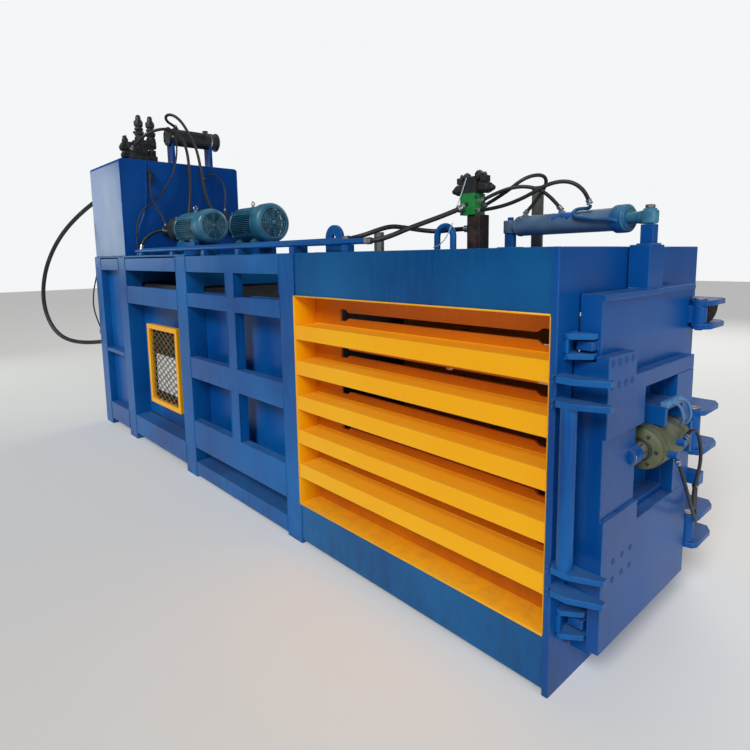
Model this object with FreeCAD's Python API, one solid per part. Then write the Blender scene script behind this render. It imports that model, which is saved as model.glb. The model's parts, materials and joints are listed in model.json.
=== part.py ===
import FreeCAD, Part
import math, os

# Horizontal recycling baler, closed end with a swing door. Millimetres, +Z up, +X towards the door.
# The origin is on the floor under the middle of the frame.

# driving dimensions of the frame
rearX, endX = -2360, 2360          # rear plate and door end
halfWidth = 605
topZ = 1550
wallNear, wallFar = -460, 320      # inside faces of the bale channel
floorZ, roofZ = 229, 1333
wallT = 15                         # channel lining plate
floorT = 20
portalT = 25
deckT = 10
postX = {"rear": (-2360, -2200), "a": (-1720, -1560), "b": (-550, -390), "c": (760, 895)}
chuteRails = [(1442, 1547), (1209, 1299), (720, 861), (220, 413)]
mullionX = (170, 270)

# strapping side
slotPitch, slotHeight, slotCount = 184, 28, 6
slotX = (1105, 2270)
ribHeight, ribPlate = 74, 8

# ram and main cylinder
ramRear, ramFace, ramGap, ramPlate = -1700, -420, 7, 12
mainY, mainZ = -70, 781
barrelR, boreR, rodR = 115, 100, 50

# power pack
# centre line, stator and cowl radius, front end of the housing; the far motor is one frame size larger
motors = [(-251, 1769, 104, 127, -1125), (266, 1808, 128, 156, -1150)]
motorBack, cowlEnd, pumpEnd = -760, -640, -1400
tankX, tankY, tankTop, tankRound = (-2300, -1530), (-605, 445), 2345, 28

# door and its hinge
doorX, doorY, doorZ = (2366, 2440), (-471, 330), (140, 1395)
hingeX, hingeY, pinR = 2475, 310, 15
earZ = [(1235, 1331), (706, 875), (293, 416)]   # top faces of each pair of ears
earT = 22
lockZ, lockX, lockR = 820, 2462, 80
frameFront = 2485                  # front of the lock frame's plates
keeperX, keeperY, keeperR = 2407, -604, 27

# door cylinder: base pivot and rod eye in plan
baseX, baseY = 1705, 95
eyeX, eyeY = 2410, -65
doorCylZ = 1656

os.makedirs("parts", exist_ok=True)
V = FreeCAD.Vector


def box(x, y, z):
    return Part.makeBox(x[1] - x[0], y[1] - y[0], z[1] - z[0], V(x[0], y[0], z[0]))


def rod(start, end, r, inner=0):
    a, b = V(*start), V(*end)
    solid = Part.makeCylinder(r, (b - a).Length, a, b - a)
    if inner:
        solid = solid.cut(Part.makeCylinder(inner, (b - a).Length + 2, a - (b - a).normalize(), b - a))
    return solid


def prism(points, z):
    face = Part.Face(Part.makePolygon([V(x, y, z[0]) for x, y in points + points[:1]]))
    return face.extrude(V(0, 0, z[1] - z[0]))


def save(name, solids):
    shape = solids[0] if len(solids) == 1 else Part.makeCompound(solids)
    if not shape.isValid():
        raise ValueError(name + " is not valid")
    shape.exportStep("parts/" + name + ".step")
    print("%-20s %3d solids %12.0f mm3" % (name, len(shape.Solids), shape.Volume))


def bothSides(depthNear, depthFar):
    # Y ranges of a member of the near and of the far side, measured in from the outer faces
    return (-halfWidth, -halfWidth + depthNear), (halfWidth - depthFar, halfWidth)


nearIn, farIn = wallNear - wallT, wallFar + wallT      # outside faces of the lining
deepNear, deepFar = nearIn + halfWidth, halfWidth - farIn
sides = bothSides(deepNear, deepFar)
shallow = bothSides(60, 60)
inside = (nearIn, farIn)
bays = [(-2200, -1720), (-1560, -550), (-390, 760)]

# ---- frame
save("posts", [box(x, y, (0, topZ)) for x in postX.values() for y in sides])

sills = []
for y in sides:
    sills += [box(bays[0], y, (57, 216)), box(bays[1], y, (57, 216)), box(bays[2], y, (20, 114))]
sills += [box(x, inside, (24, floorZ - floorT)) for x in postX.values()]
sills += [box((-60, 60), inside, (0, floorZ - floorT)), box((2200, 2335), inside, (24, floorZ - floorT))]
save("base_sills", sills)

rails = []
for y in shallow:
    rails += [box(bays[0], y, (1442, 1539)), box(bays[1], y, (1442, 1539)), box(bays[1], y, (1174, 1313))]
    rails += [box(bays[0], y, (700, 730))]
    rails += [box(bays[2], y, z) for z in chuteRails]
    rails += [box(mullionX, y, z) for z in [(413, 720), (861, 1209), (1299, 1442)]]
save("side_rails", rails)

panels = []
for y in [(nearIn, wallNear), (wallFar, farIn)]:
    panels.append(box((-2325, 760), y, (floorZ, 1299)))
panels += [box((-2200, -1720), (-545, -537), (216, 1442)), box((-2200, -1720), (537, 545), (216, 1442))]
save("side_panels", panels)

save("channel_floor", [box((-2325, 2335), inside, (floorZ - floorT, floorZ))])

roof = [box((895, 2335), inside, (roofZ, roofZ + 20)), box((895, 2335), inside, (1535, topZ))]
roof += [box((x, x + 15), inside, (roofZ + 20, 1535)) for x in range(1015, 2300, 240)]
roof += [box(postX[k], inside, (1340, topZ)) for k in ("a", "b", "c")]

save("shear_knife", [box((730, 760), (wallNear, wallFar), (roofZ, 1405))])

save("rear_plate", [box((rearX, -2325), inside, (floorZ - floorT, topZ))])

for y in ((-600, nearIn), (farIn, 600)):
    roof += [box((895, 2335), y, (roofZ, topZ)), box((895, 2335), y, (24, floorZ))]
save("beams", roof)

portal = [box((2335, endX), (-halfWidth, halfWidth), (roofZ, topZ)),
          box((2335, endX), (-halfWidth, halfWidth), (0, floorZ)),
          box((2335, endX), (-halfWidth, wallNear), (floorZ, roofZ)),
          box((2335, endX), (wallFar, halfWidth), (floorZ, roofZ))]
save("end_portal", portal)

# ---- strapping walls: planks with a strap slot between each two, closed at both ends
slots = [floorZ + slotPitch * (i + 0.5) for i in range(slotCount)]
edges = [floorZ] + [z + s * slotHeight / 2 for z in slots for s in (-1, 1)] + [roofZ]
planks = []
for y in ((nearIn, wallNear), (wallFar, farIn)):
    planks += [box((895, 2335), y, (edges[i], edges[i + 1])) for i in range(0, len(edges), 2)]
    for z in slots:
        for x in ((895, slotX[0]), (slotX[1], 2335)):
            planks.append(box(x, y, (z - slotHeight / 2, z + slotHeight / 2)))
# the lining behind post C
for y in ((nearIn, wallNear), (wallFar, farIn)):
    planks.append(box((760, 895), y, (floorZ, roofZ)))
save("chamber_walls", planks)

ribs = []
for outer, inner in ((-603, nearIn), (603, farIn)):
    web = (outer, outer + ribPlate) if outer < 0 else (outer - ribPlate, outer)
    leg = (outer + ribPlate, inner) if outer < 0 else (inner, outer - ribPlate)
    for i in range(slotCount - 1):
        z = slots[i] + slotPitch / 2
        low, high = z - ribHeight / 2, z + ribHeight / 2
        ribs += [box((898, 2332), web, (low, high)),
                 box((898, 2332), leg, (low, low + ribPlate)),
                 box((898, 2332), leg, (high - ribPlate, high))]
save("strap_ribs", ribs)

# ---- yellow guard on the near side
guardX, guardZ, guardY, bar = (-1180, -620), (405, 1030), (-600, -560), 35
guard = [
    box((guardX[0], guardX[0] + bar), guardY, guardZ),
    box((guardX[1] - bar, guardX[1]), guardY, guardZ),
    box((guardX[0] + bar, guardX[1] - bar), guardY, (guardZ[0], guardZ[0] + bar)),
    box((guardX[0] + bar, guardX[1] - bar), guardY, (guardZ[1] - bar, guardZ[1]))]
guard += [box((x, x + 30), (-560, nearIn), (z, z + 30))
          for x in (guardX[0], guardX[1] - 30) for z in (guardZ[0] + 60, guardZ[1] - 90)]
save("guard_frame", guard)
hole = box((guardX[0] + bar, guardX[1] - bar), (-600, -560), (guardZ[0] + bar, guardZ[1] - bar))
strands = []
for layer, lean in ((-584, 1), (-581, -1)):
    for i in range(-9, 22):
        strand = box((-500, 500), (layer, layer + 3), (-2.5, 2.5))
        strand.rotate(V(0, 0, 0), V(0, 1, 0), 30 * lean)
        strand.translate(V((guardX[0] + guardX[1]) / 2, 0, guardZ[0] + 50 * i))
        cut = strand.common(hole)
        if cut.Volume > 500:
            strands += cut.Solids
save("guard_mesh", strands)

# ---- ram and main cylinder
low, high = floorZ + ramGap, roofZ - ramGap
left, right = wallNear + ramGap, wallFar - ramGap
body = (ramRear, ramFace - 40)
save("ram_face", [box((ramFace - 40, ramFace), (left, right), (low, high))])
ram = [
    box(body, (left, right), (high - ramPlate, high)),
    box(body, (left, right), (low, low + ramPlate)),
    box(body, (left, left + ramPlate), (low + ramPlate, high - ramPlate)),
    box(body, (right - ramPlate, right), (low + ramPlate, high - ramPlate))]
# wear strips under it
ram += [box(body, y, (floorZ + 0.5, low)) for y in ((left + 10, left + 60), (right - 60, right - 10))]
save("ram_body", ram)

barrel = rod((-2285, mainY, mainZ), (-900, mainY, mainZ), barrelR, boreR)
flange = rod((-2325, mainY, mainZ), (-2285, mainY, mainZ), 160)
gland = rod((-900, mainY, mainZ), (-860, mainY, mainZ), 130, rodR + 0.4)
save("main_cylinder", [flange, barrel, gland])
save("main_rod", [rod((-2270, mainY, mainZ), (-2220, mainY, mainZ), boreR - 0.5).fuse(
    rod((-2220, mainY, mainZ), (ramFace - 40, mainY, mainZ), rodR))])

# ---- oil tank and what stands on it
deckTop = topZ + deckT
tank = box(tankX, tankY, (deckTop, tankTop))
top = [e for e in tank.Edges if abs(e.CenterOfMass.z - tankTop) < 1 and abs(e.tangentAt(0).x) > 0.9]
tank = tank.makeFillet(tankRound, top)
hollow = box([tankX[0] + 6, tankX[1] - 6], [tankY[0] + 6, tankY[1] - 6], [deckTop + 6, tankTop - 60])
tankParts = [tank.cut(hollow), box((-1960, -1620), (-530, 380), (tankTop, tankTop + 8))]
lidTop = tankTop + 8

coolX, coolY, coolZ, coolR = -1740, (-110, 361), 2603, 72
save("oil_cooler", [rod((coolX, coolY[0] + 18, coolZ), (coolX, coolY[1] - 18, coolZ), coolR),
                    rod((coolX, coolY[0], coolZ), (coolX, coolY[0] + 18, coolZ), coolR + 10),
                    rod((coolX, coolY[1] - 18, coolZ), (coolX, coolY[1], coolZ), coolR + 10)])
saddle = rod((coolX, -1000, coolZ), (coolX, 1000, coolZ), coolR)
tankParts += [box((coolX - 55, coolX + 55), (y, y + 25), (lidTop, coolZ - 30)).cut(saddle)
              for y in (-90, 262)]
save("oil_tank", tankParts)
valves = [box((-1800, -1680), (-460, -225), (lidTop, 2540))]
for x, y, h in ((-1740, -350, 2748), (-1740, -252, 2750)):
    valves += [box((x - 32, x + 32), (y - 26, y + 26), (2540, 2630)),
               rod((x, y, 2630), (x, y, h - 30), 26), rod((x, y, h - 30), (x, y, h), 15)]
save("relief_valves", valves)

# ---- motor and pump sets
housings, cowls, feet, boxes, bells, pumps, suction = [], [], [], [], [], [], []
for y, z, stator, cowl, front in motors:
    core = rod((front, y, z), (motorBack, y, z), stator)
    fins = []
    for i in range(36):
        fin = box((front + 30, motorBack - 15), (-2, 2), (stator - 3, stator + 15))
        fin.rotate(V(0, 0, 0), V(1, 0, 0), 10 * i + 5)
        fin.translate(V(0, y, z))
        fins.append(fin)
    foot = box((-1080, -800), (y - 100, y + 100), (1655, 1670)).fuse(
        box((-1080, -800), (y - 60, y + 60), (1670, z - 60)))
    core = core.fuse(fins + [foot])
    housings.append(core.cut(rod((-1200, y, z), (-700, y, z), 21)))
    cowls += [rod((motorBack, y, z), (cowlEnd - 8, y, z), cowl, cowl - 7),
              rod((cowlEnd - 8, y, z), (cowlEnd, y, z), cowl, 24)]
    feet += [box((-1100, -780), (y + s * 80 - 20, y + s * 80 + 20), (deckTop, 1655)) for s in (-1, 1)]
    boxes.append(box((-1005, -885), (y + stator + 15, y + stator + 75), (z - 44, z + 50)))
    bells.append(rod((-1260, y, z), (front, y, z), 105, 88))
    port = (y + 50, y + 130) if y < 0 else (y - 130, y - 50)
    pumps += [rod((-1275, y, z), (-1260, y, z), 105), rod((pumpEnd, y, z), (-1275, y, z), 58),
              box((-1375, -1300), (y - 30, y + 30), (z + 53, z + 88)),
              box((-1375, -1315), port, (1755, 1815)),
              box((-1375, -1325), (y - 92, y - 52), (1770, 1800))]
    suction += [rod((-1530, y, z), (pumpEnd, y, z), 24)]
# return stub on the far pump's port
pumps.append(rod((-1345, 208, 1815), (-1345, 208, 1945), 12))
feet.append(box((rearX, -390), (-halfWidth, halfWidth), (topZ, deckTop)))
save("rear_deck", feet)
save("motor_housings", housings + boxes)
save("fan_cowls", cowls)
save("pumps", bells + pumps + suction)
for i, (y, z, stator, cowl, front) in enumerate(motors):
    shaft = rod((-1255, y, z), (-656, y, z), 19)
    hub = rod((-1215, y, z), (front - 25, y, z), 40)
    fan = rod((-745, y, z), (-715, y, z), 45)
    for k in range(7):
        blade = box((-742, -676), (-2, 2), (40, cowl - 18))
        blade.rotate(V(0, 0, 0), V(1, 0, 0), k * 360 / 7)
        blade.translate(V(0, y, z))
        fan = fan.fuse(blade)
    save("motor_rotor_%d" % (i + 1), [shaft.fuse([hub, fan])])

# ---- pipes and valves along the top
# far end, centre line in Y and Z, radius
edgePipes = [(1390, -552, 1596, 14), (1181, -505, 1608, 11)]
clips = [rod((-1430, y, z), (end, y, z), r) for end, y, z, r in edgePipes]
for x in (-1300, -700, -200, 250, 820, 1250):
    base = deckTop if x < -390 else 1547 if x < 700 else topZ
    clips += [box((x, x + 40), (y - 23, y + 20), (base, z - r)) for end, y, z, r in edgePipes if x < end]
save("edge_pipes", clips)
save("valve_post", [box((1653, 1723), (-170, -100), (topZ, 1705))])
save("valve_block", [box((1620, 1700), (-180, -100), (1705, 1800))])
valve = [box((1628, 1702), (-172, -112), (1800, 1850))]
valve += [rod((1570, -142, 1828), (1628, -142, 1828), 24), rod((1702, -142, 1828), (1760, -142, 1828), 24),
          rod((1548, -142, 1828), (1570, -142, 1828), 14), rod((1760, -142, 1828), (1782, -142, 1828), 14),
          box((1640, 1690), (-167, -117), (1850, 1880)), rod((1600, -142, 1874), (1640, -142, 1874), 19),
          rod((1690, -142, 1874), (1730, -142, 1874), 19)]
save("directional_valve", valve)
eye = [rod((x, -200, topZ), (x, -200, 1612), 15) for x in (1502, 1598)]
arch = Part.makeTorus(48, 15, V(1550, -200, 1612), V(0, 1, 0))
arch = arch.common(box((1450, 1660), (-250, -150), (1612, 1700)))
lugX, lugZ, lugR = 1083, 1617, 65
lug = box((lugX - lugR, lugX + lugR), (-488, -472), (topZ, lugZ))
lug = lug.fuse(rod((lugX, -488, lugZ), (lugX, -472, lugZ), lugR))
lug = lug.removeSplitter().cut(rod((lugX, -500, lugZ + 5), (lugX, -460, lugZ + 5), 14))
save("lifting_eye", eye + arch.Solids + [lug])
save("steel_stubs", [rod((1035, -140, topZ), (1035, -140, 1655), 27),
                     box((1760, 1812), (185, 205), (topZ, 1845)),
                     box((-2388, rearX), (-590, -560), (1500, 1540)),
                     box((-2388, rearX), (-605, -578), (840, 880))])

# ---- door, arm and hinge
x, y, z = doorX, doorY, doorZ
window = ((-255, 85), (600, 1055))
frontX, backX = (x[1] - 12, x[1]), (x[0], x[0] + 12)
core = (backX[1], frontX[0])
leaf = [box(backX, y, (z[0], z[1] - 20)),
        box(frontX, y, (z[0], window[1][0])), box(frontX, y, (window[1][1], z[1] - 20)),
        box(frontX, (y[0], window[0][0]), window[1]), box(frontX, (window[0][1], y[1]), window[1])]
leaf += [box(core, (y[0], y[0] + 20), (z[0], z[1] - 20)), box(core, (y[1] - 20, y[1]), (z[0], z[1] - 20)),
         box(core, (y[0] + 20, y[1] - 20), (z[0], z[0] + 20)),
         box(core, (y[0] + 20, y[1] - 20), (window[1][0] - 20, window[1][0])),
         box(core, (y[0] + 20, y[1] - 20), (window[1][1], window[1][1] + 20)),
         box(core, (window[0][0] - 15, window[0][0]), window[1]),
         box(core, (window[0][1], window[0][1] + 15), window[1])]
leaf.append(box((x[0], x[1] + 10), y, (z[1] - 20, z[1])))
leaf += [box((2376, 2430), (-512, y[0]), (c - 15, c + 15)) for c in (1230.5, 264)]
save("door_leaf", leaf)
save("door_arm", [box((2366, 2440), (-125, 5), (z[1], 1555)), box((2387, 2433), (-88, -42), (1555, 1629))])

knuckles, ears, pins = [], [], []
for lower, upper in earZ:
    span = (lower + 1, upper - earT - 1)
    hub = rod((hingeX, hingeY, span[0]), (hingeX, hingeY, span[1]), 28)
    hub = hub.fuse(box((x[1], hingeX - 5), (hingeY - 22, hingeY + 18), span))
    knuckles.append(hub.cut(rod((hingeX, hingeY, span[0] - 1), (hingeX, hingeY, span[1] + 1), pinR + 0.4)))
    pins.append(rod((hingeX, hingeY, lower - earT - 6), (hingeX, hingeY, upper + 8), pinR))
    for top in (lower, upper):
        plate = (top - earT, top)
        bore = rod((hingeX, hingeY, plate[0] - 1), (hingeX, hingeY, plate[1] + 1), pinR)
        ears.append(prism([(endX, 345), (2521, 345), (2521, 470), (2496, 515), (endX, 515)], plate))
        nose = rod((hingeX, hingeY, plate[0]), (hingeX, hingeY, plate[1]), 30)
        nose = nose.fuse(box((2445, 2521), (hingeY, 345), plate)).fuse(
            prism([(hingeX, hingeY - 30), (2508, hingeY - 22), (2521, hingeY), (hingeX, hingeY)], plate))
        ears.append(nose.removeSplitter().cut(bore))
save("hinge_knuckles", knuckles)
save("hinge_ears", ears + pins)

# ---- lock on the near side
lockFrame = [box((2441, frameFront), (-505, -298), (930, 1200)),
             box((2441, frameFront), (-298, -215), (930, 1116)),
             box((2441, frameFront), (-215, 250), (1060, 1116)),
             box((2441, frameFront), (-505, -240), (180, 652)),
             box((2441, frameFront), (-240, 250), (180, 580)),
             box((2441, 2474), (-505, -255), (652, 930))]
# return plate round the door's edge, and the fingers that go behind the keeper bar
lockFrame += [box((2366, 2441), (-505, -493), (335, 1180))]
lockFrame += [box((2363, 2377), (-556, -505), fingerZ) for fingerZ in ((560, 690), (850, 980))]
save("lock_frame", lockFrame)
lockRod = rod((lockX, -200, lockZ), (lockX, 40, lockZ), 22)
lockRod = lockRod.fuse([rod((lockX, -300, lockZ), (lockX, -200, lockZ), 36),
                        rod((lockX, 0, lockZ), (lockX, 40, lockZ), 64.5)])
# flats where the boss stands on the door and on the frame's thin plate
flat = box((2420, 2441.5), (-305, -204), (lockZ - 40, lockZ + 40))
save("lock_rod", [lockRod.cut(flat).cut(box((2441, 2474), (-505, -255), (652, 930)))])
lockBarrel = rod((lockX, -165, lockZ), (lockX, 85, lockZ), lockR, 65)
lockGland = rod((lockX, -185, lockZ), (lockX, -165, lockZ), lockR - 4, 22.4)
lockCap = rod((lockX, 65, lockZ), (lockX, 85, lockZ), 65)
save("lock_cylinder", [lockBarrel, lockGland, lockCap])
ports = [rod((lockX + 60, -50, lockZ + 14), (lockX + 108, -50, lockZ + 14), 13),
         rod((lockX + 60, -120, lockZ - 16), (lockX + 108, -120, lockZ - 16), 13)]
ports = [p.cut(rod((lockX, -165, lockZ), (lockX, 85, lockZ), lockR)) for p in ports]
saddles = [box((2378, 2520), (-120, -100), (lockZ + 82, 960)),
           box((2378, 2520), (40, 60), (lockZ + 82, 960)),
           box((2378, 2520), (-120, 60), (960, 972))]
# end plate that carries the cylinder, the fixed plates round it, and the block where its hoses end
saddles += [box((x[1], 2540), (85, 100), (lockZ - 60, lockZ + 60)),
            box((x[1], 2525), (268, 318), (564, 614)),
            box((x[1], frameFront), (100, 250), (582, 1058))]
saddles += [box((x[1], frameFront), (85, 100), side) for side in ((582, lockZ - 60), (lockZ + 60, 1058))]

# lugs and brackets are gussets: their near edge runs inwards as it leaves the end face
lugs, corner = [], []
for a, b in ((1047, 1125), (404, 484)):
    for low in (a, b):
        lugs.append(prism([(endX, -600), (2374, -632), (2432, -632), (2530, -586), (2530, -560),
                           (endX, -560)], (low, low + 19)))
save("keeper", lugs + [rod((keeperX, keeperY, 503), (keeperX, keeperY, 1047), keeperR)])
for a, b in ((1189, 1272), (212, 316)):
    for low in (a, b - 18):
        corner.append(prism([(endX, -560), (2374, -560), (2436, -512), (2436, -485), (endX, -485)],
                            (low, low + 18)))
    corner.append(box((endX, 2372), (-560, -548), (a + 18, b - 18)))
save("corner_brackets", corner)

# ---- door cylinder on the top, drawn closed
along = V(eyeX - baseX, eyeY - baseY, 0)
closed = along.Length
along.normalize()


def at(s, z=doorCylZ):
    return (baseX + along.x * s, baseY + along.y * s, z)


save("door_cyl_base", [box((baseX - 45, baseX + 45), (baseY - 45, baseY + 45), (topZ, topZ + 12)),
                       rod((baseX, baseY, topZ + 12), (baseX, baseY, doorCylZ - 31), 27),
                       rod((baseX, baseY, doorCylZ - 31), (baseX, baseY, doorCylZ + 45), 14)])
clevis = rod((baseX, baseY, doorCylZ - 30), (baseX, baseY, doorCylZ + 30), 32)
clevis = clevis.fuse(rod(at(20), at(60), 28)).cut(
    rod((baseX, baseY, doorCylZ - 60), (baseX, baseY, doorCylZ + 60), 14.4))
tube = rod(at(60), at(590), 45, 36)
head = rod(at(590), at(640), 54, 23)
save("door_cyl_barrel", [clevis.cut(rod(at(60), at(90), 50)), rod(at(60), at(72), 36), tube, head])
eyeRing = rod((eyeX, eyeY, doorCylZ - 25), (eyeX, eyeY, doorCylZ + 25), 30)
stem = rod(at(90), at(closed - 20), 22.5).fuse(rod(at(78), at(110), 35.5))
save("door_cyl_rod", [stem.fuse(eyeRing), rod((eyeX, eyeY, doorCylZ + 25), (eyeX, eyeY, doorCylZ + 31), 24),
                      rod((eyeX, eyeY, doorCylZ + 31), (eyeX, eyeY, doorCylZ + 45), 17)])

# ---- hoses: each route runs from port face to port face, with a crimped fitting on both ends
hoses = {
    "main_hose": (38, 60, [(-2300, -500, 2120), (-2600, -600, 2010), (-2873, -770, 1760),
                           (-3060, -880, 1440), (-3130, -910, 1090), (-2980, -850, 800),
                           (-2690, -700, 715), (-2360, -545, 765)]),
    "hose_a": (24, 30, [(-1680, -440, 2450), (-1635, -420, 2494), (-1580, -368, 2554), (-1525, -268, 2610),
                        (-1482, -165, 2612), (-1450, -92, 2535), (-1434, -66, 2425), (-1426, -62, 2290),
                        (-1416, -64, 2150), (-1398, -85, 1995), (-1380, -112, 1900), (-1345, -153, 1815)]),
    "hose_b": (24, 12, [(-1740, -20, 2693), (-1735, -66, 2712), (-1718, -110, 2730), (-1684, -136, 2754),
                        (-1634, -126, 2770), (-1590, -86, 2752), (-1556, -40, 2694), (-1520, -4, 2602),
                        (-1482, 38, 2482), (-1452, 51, 2340), (-1430, 54, 2190), (-1408, 70, 2050),
                        (-1388, 100, 1950), (-1362, 145, 1882), (-1345, 175, 1815)]),
    "hose_d": (14, 25, [(-1668, -84, 2593), (-1590, -96, 2573), (-1520, -118, 2482), (-1492, -140, 2389),
                        (-1487, -160, 2313), (-1480, -185, 2237), (-1474, -240, 2150), (-1470, -307, 2063),
                        (-1466, -390, 1990), (-1465, -466, 1932), (-1460, -515, 1830), (-1457, -532, 1740),
                        (-1452, -526, 1650), (-1455, -528, 1560)]),
    "hose_e": (14, 15, [(-1530, -368, 2250), (-1470, -378, 2248), (-1460, -388, 2185), (-1458, -393, 2118),
                        (-1452, -390, 2050), (-1434, -376, 1985), (-1408, -352, 1925), (-1376, -332, 1866),
                        (-1350, -327, 1800)]),
    "hose_f": (12, 15, [(-1530, 108, 2230), (-1487, 128, 2262), (-1460, 190, 2272), (-1435, 240, 2215),
                        (-1405, 252, 2130), (-1375, 236, 2045), (-1352, 214, 1990), (-1345, 208, 1945)]),
    "rear_cable": (12, 20, [(-2374, -575, 1500), (-2380, -585, 1420), (-2390, -610, 1320),
                            (-2396, -634, 1210), (-2396, -640, 1090), (-2388, -620, 980),
                            (-2375, -592, 880)]),
    "mid_hose_1": (22, 35, [(1181, -505, 1608), (1245, -500, 1614), (1303, -470, 1628), (1333, -415, 1651),
                            (1350, -350, 1667), (1372, -285, 1661), (1410, -215, 1648), (1464, -160, 1640),
                            (1547, -140, 1646), (1653, -135, 1648)]),
    "mid_hose_2": (22, 30, [(1390, -552, 1596), (1448, -535, 1597), (1485, -485, 1615), (1513, -420, 1643),
                            (1553, -340, 1674), (1596, -262, 1704), (1645, -180, 1742)]),
    "door_hose_a": (16, 22, [(1700, -140, 1762), (1790, -125, 1800), (1885, -85, 1820), (1965, -25, 1790),
                             (2009, 24, 1709)]),
    "door_hose_b": (16, 15, [(1700, -155, 1722), (1785, -162, 1725), (1875, -165, 1738), (1960, -157, 1766),
                             (2035, -141, 1806), (2112, -113, 1814), (2166, -85, 1774), (2177, -62, 1720)]),
    "door_hose_c": (16, 18, [(1700, -118, 1742), (1795, -97, 1788), (1885, -60, 1860), (1925, 35, 1870),
                             (1880, 105, 1812), (1795, 73, 1709)]),
    "lock_hose_1": (13, 12, [(2563, -40, 848), (2567, -8, 872), (2572, 35, 868), (2576, 72, 830),
                             (2576, 98, 776), (2573, 112, 716), (2567, 104, 664), (2560, 100, 612),
                             (2551, 125, 560), (2543, 165, 512), (2530, 208, 484), (2512, 248, 478),
                             (2505, 280, 520), (2505, 282, 564)]),
    "lock_hose_2": (13, 15, [(2566, -114, 786), (2574, -98, 748), (2580, -72, 696), (2583, -38, 640),
                             (2580, 8, 584), (2574, 62, 530), (2565, 120, 484), (2550, 176, 448),
                             (2532, 230, 436), (2512, 278, 450), (2505, 303, 508), (2505, 304, 564)]),
}


def hoseTube(name, d, points):
    # runs with a tangent arc at each inner point, as large as the two runs allow
    pts = [V(*p) for p in points]
    edges, start, radii = [], pts[0], []
    for a, b, c in zip(pts, pts[1:], pts[2:]):
        u, v = (a - b).normalize(), (c - b).normalize()
        reach = 0.45 * min((a - b).Length, (c - b).Length)
        half = (math.pi - u.getAngle(v)) / 2
        radii.append(reach / math.tan(half))
        p, q = b + u * reach, b + v * reach
        bisector = (u + v).normalize()
        mid = b + bisector * (radii[-1] / math.cos(half) - radii[-1])
        edges += [Part.LineSegment(start, p).toShape(), Part.Arc(p, mid, q).toShape()]
        start = q
    edges.append(Part.LineSegment(start, pts[-1]).toShape())
    wire = Part.Wire(edges)
    ring = Part.Wire([Part.makeCircle(d / 2, pts[0], pts[1] - pts[0])])
    tube = wire.makePipeShell([ring], True, True)
    ratio = tube.Volume / (math.pi * d * d / 4 * wire.Length)
    print("%-13s length %5.0f  smallest radius %4.1f diameters  volume ratio %.4f"
          % (name, wire.Length, min(radii) / d, ratio))
    return tube


fittings = {"frame": [], "door": []}
for name, (d, length, route) in hoses.items():
    ends = []
    for tip, towards in ((route[0], route[1]), (route[-1], route[-2])):
        step = (V(*towards) - V(*tip)).normalize() * length
        ends.append(V(*tip) + step)
        fittings["door" if name.startswith("lock") else "frame"].append(rod(tip, tuple(ends[-1]), d * 0.72))
    save(name, [hoseTube(name, d, [tuple(ends[0])] + route[1:-1] + [tuple(ends[1])])])
save("hose_fittings", fittings["frame"])
save("lock_saddles", ports + saddles + fittings["door"])
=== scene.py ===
import json
import math
import random

import bmesh
import bpy
from mathutils import Matrix, Vector


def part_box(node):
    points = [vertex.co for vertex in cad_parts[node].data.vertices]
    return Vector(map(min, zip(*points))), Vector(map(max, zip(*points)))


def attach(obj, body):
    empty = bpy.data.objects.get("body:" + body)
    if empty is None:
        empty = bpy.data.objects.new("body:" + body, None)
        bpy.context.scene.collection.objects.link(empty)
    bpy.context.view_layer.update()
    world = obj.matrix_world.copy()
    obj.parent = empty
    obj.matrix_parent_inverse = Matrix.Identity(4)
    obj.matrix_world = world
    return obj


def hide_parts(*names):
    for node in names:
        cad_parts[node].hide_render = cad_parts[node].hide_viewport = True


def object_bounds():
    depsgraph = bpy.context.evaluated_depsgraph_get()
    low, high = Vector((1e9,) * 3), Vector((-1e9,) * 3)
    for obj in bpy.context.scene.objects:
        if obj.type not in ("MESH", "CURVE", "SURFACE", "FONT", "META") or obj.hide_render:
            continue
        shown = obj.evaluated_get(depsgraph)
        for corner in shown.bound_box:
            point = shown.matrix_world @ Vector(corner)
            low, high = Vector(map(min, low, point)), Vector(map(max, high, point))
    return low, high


random.seed(41)
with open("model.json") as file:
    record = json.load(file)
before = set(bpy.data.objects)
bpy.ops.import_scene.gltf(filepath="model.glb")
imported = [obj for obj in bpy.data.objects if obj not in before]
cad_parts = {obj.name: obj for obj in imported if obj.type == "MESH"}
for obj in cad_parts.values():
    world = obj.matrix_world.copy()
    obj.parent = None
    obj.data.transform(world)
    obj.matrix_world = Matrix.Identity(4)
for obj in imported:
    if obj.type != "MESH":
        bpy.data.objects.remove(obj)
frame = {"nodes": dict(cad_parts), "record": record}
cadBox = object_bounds()
nodes = frame["nodes"]
up = Vector((0, 0, 1))
# the frame's outside and the ram's axis, in millimetres
machine = {"rear": -2360, "front": 2360, "half": 605, "top": 1550, "ramY": -70, "ramZ": 781}
print("frame loaded:", len(nodes), "nodes")


# ---- camera: stands by the near front corner at eye height and looks along the machine
camera = {"place": (3.265, -2.203, 1.528), "forward": (-0.734, 0.666, -0.131),
          "right": (0.673, 0.739, -0.015),
          "lens": 26.79, "sensor": 36, "shiftY": -0.06}


def makeCamera():
    data = bpy.data.cameras.new("camera")
    data.lens, data.sensor_width, data.shift_y = camera["lens"], camera["sensor"], camera["shiftY"]
    data.clip_start, data.clip_end = 0.05, 100
    made = bpy.data.objects.new("camera", data)
    bpy.context.scene.collection.objects.link(made)
    back = -Vector(camera["forward"]).normalized()
    right = Vector(camera["right"])
    right = (right - back * right.dot(back)).normalized()
    turn = Matrix((right, back.cross(right), back)).transposed().to_4x4()
    made.matrix_world = Matrix.Translation(camera["place"]) @ turn
    bpy.context.scene.camera = made


makeCamera()


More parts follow.
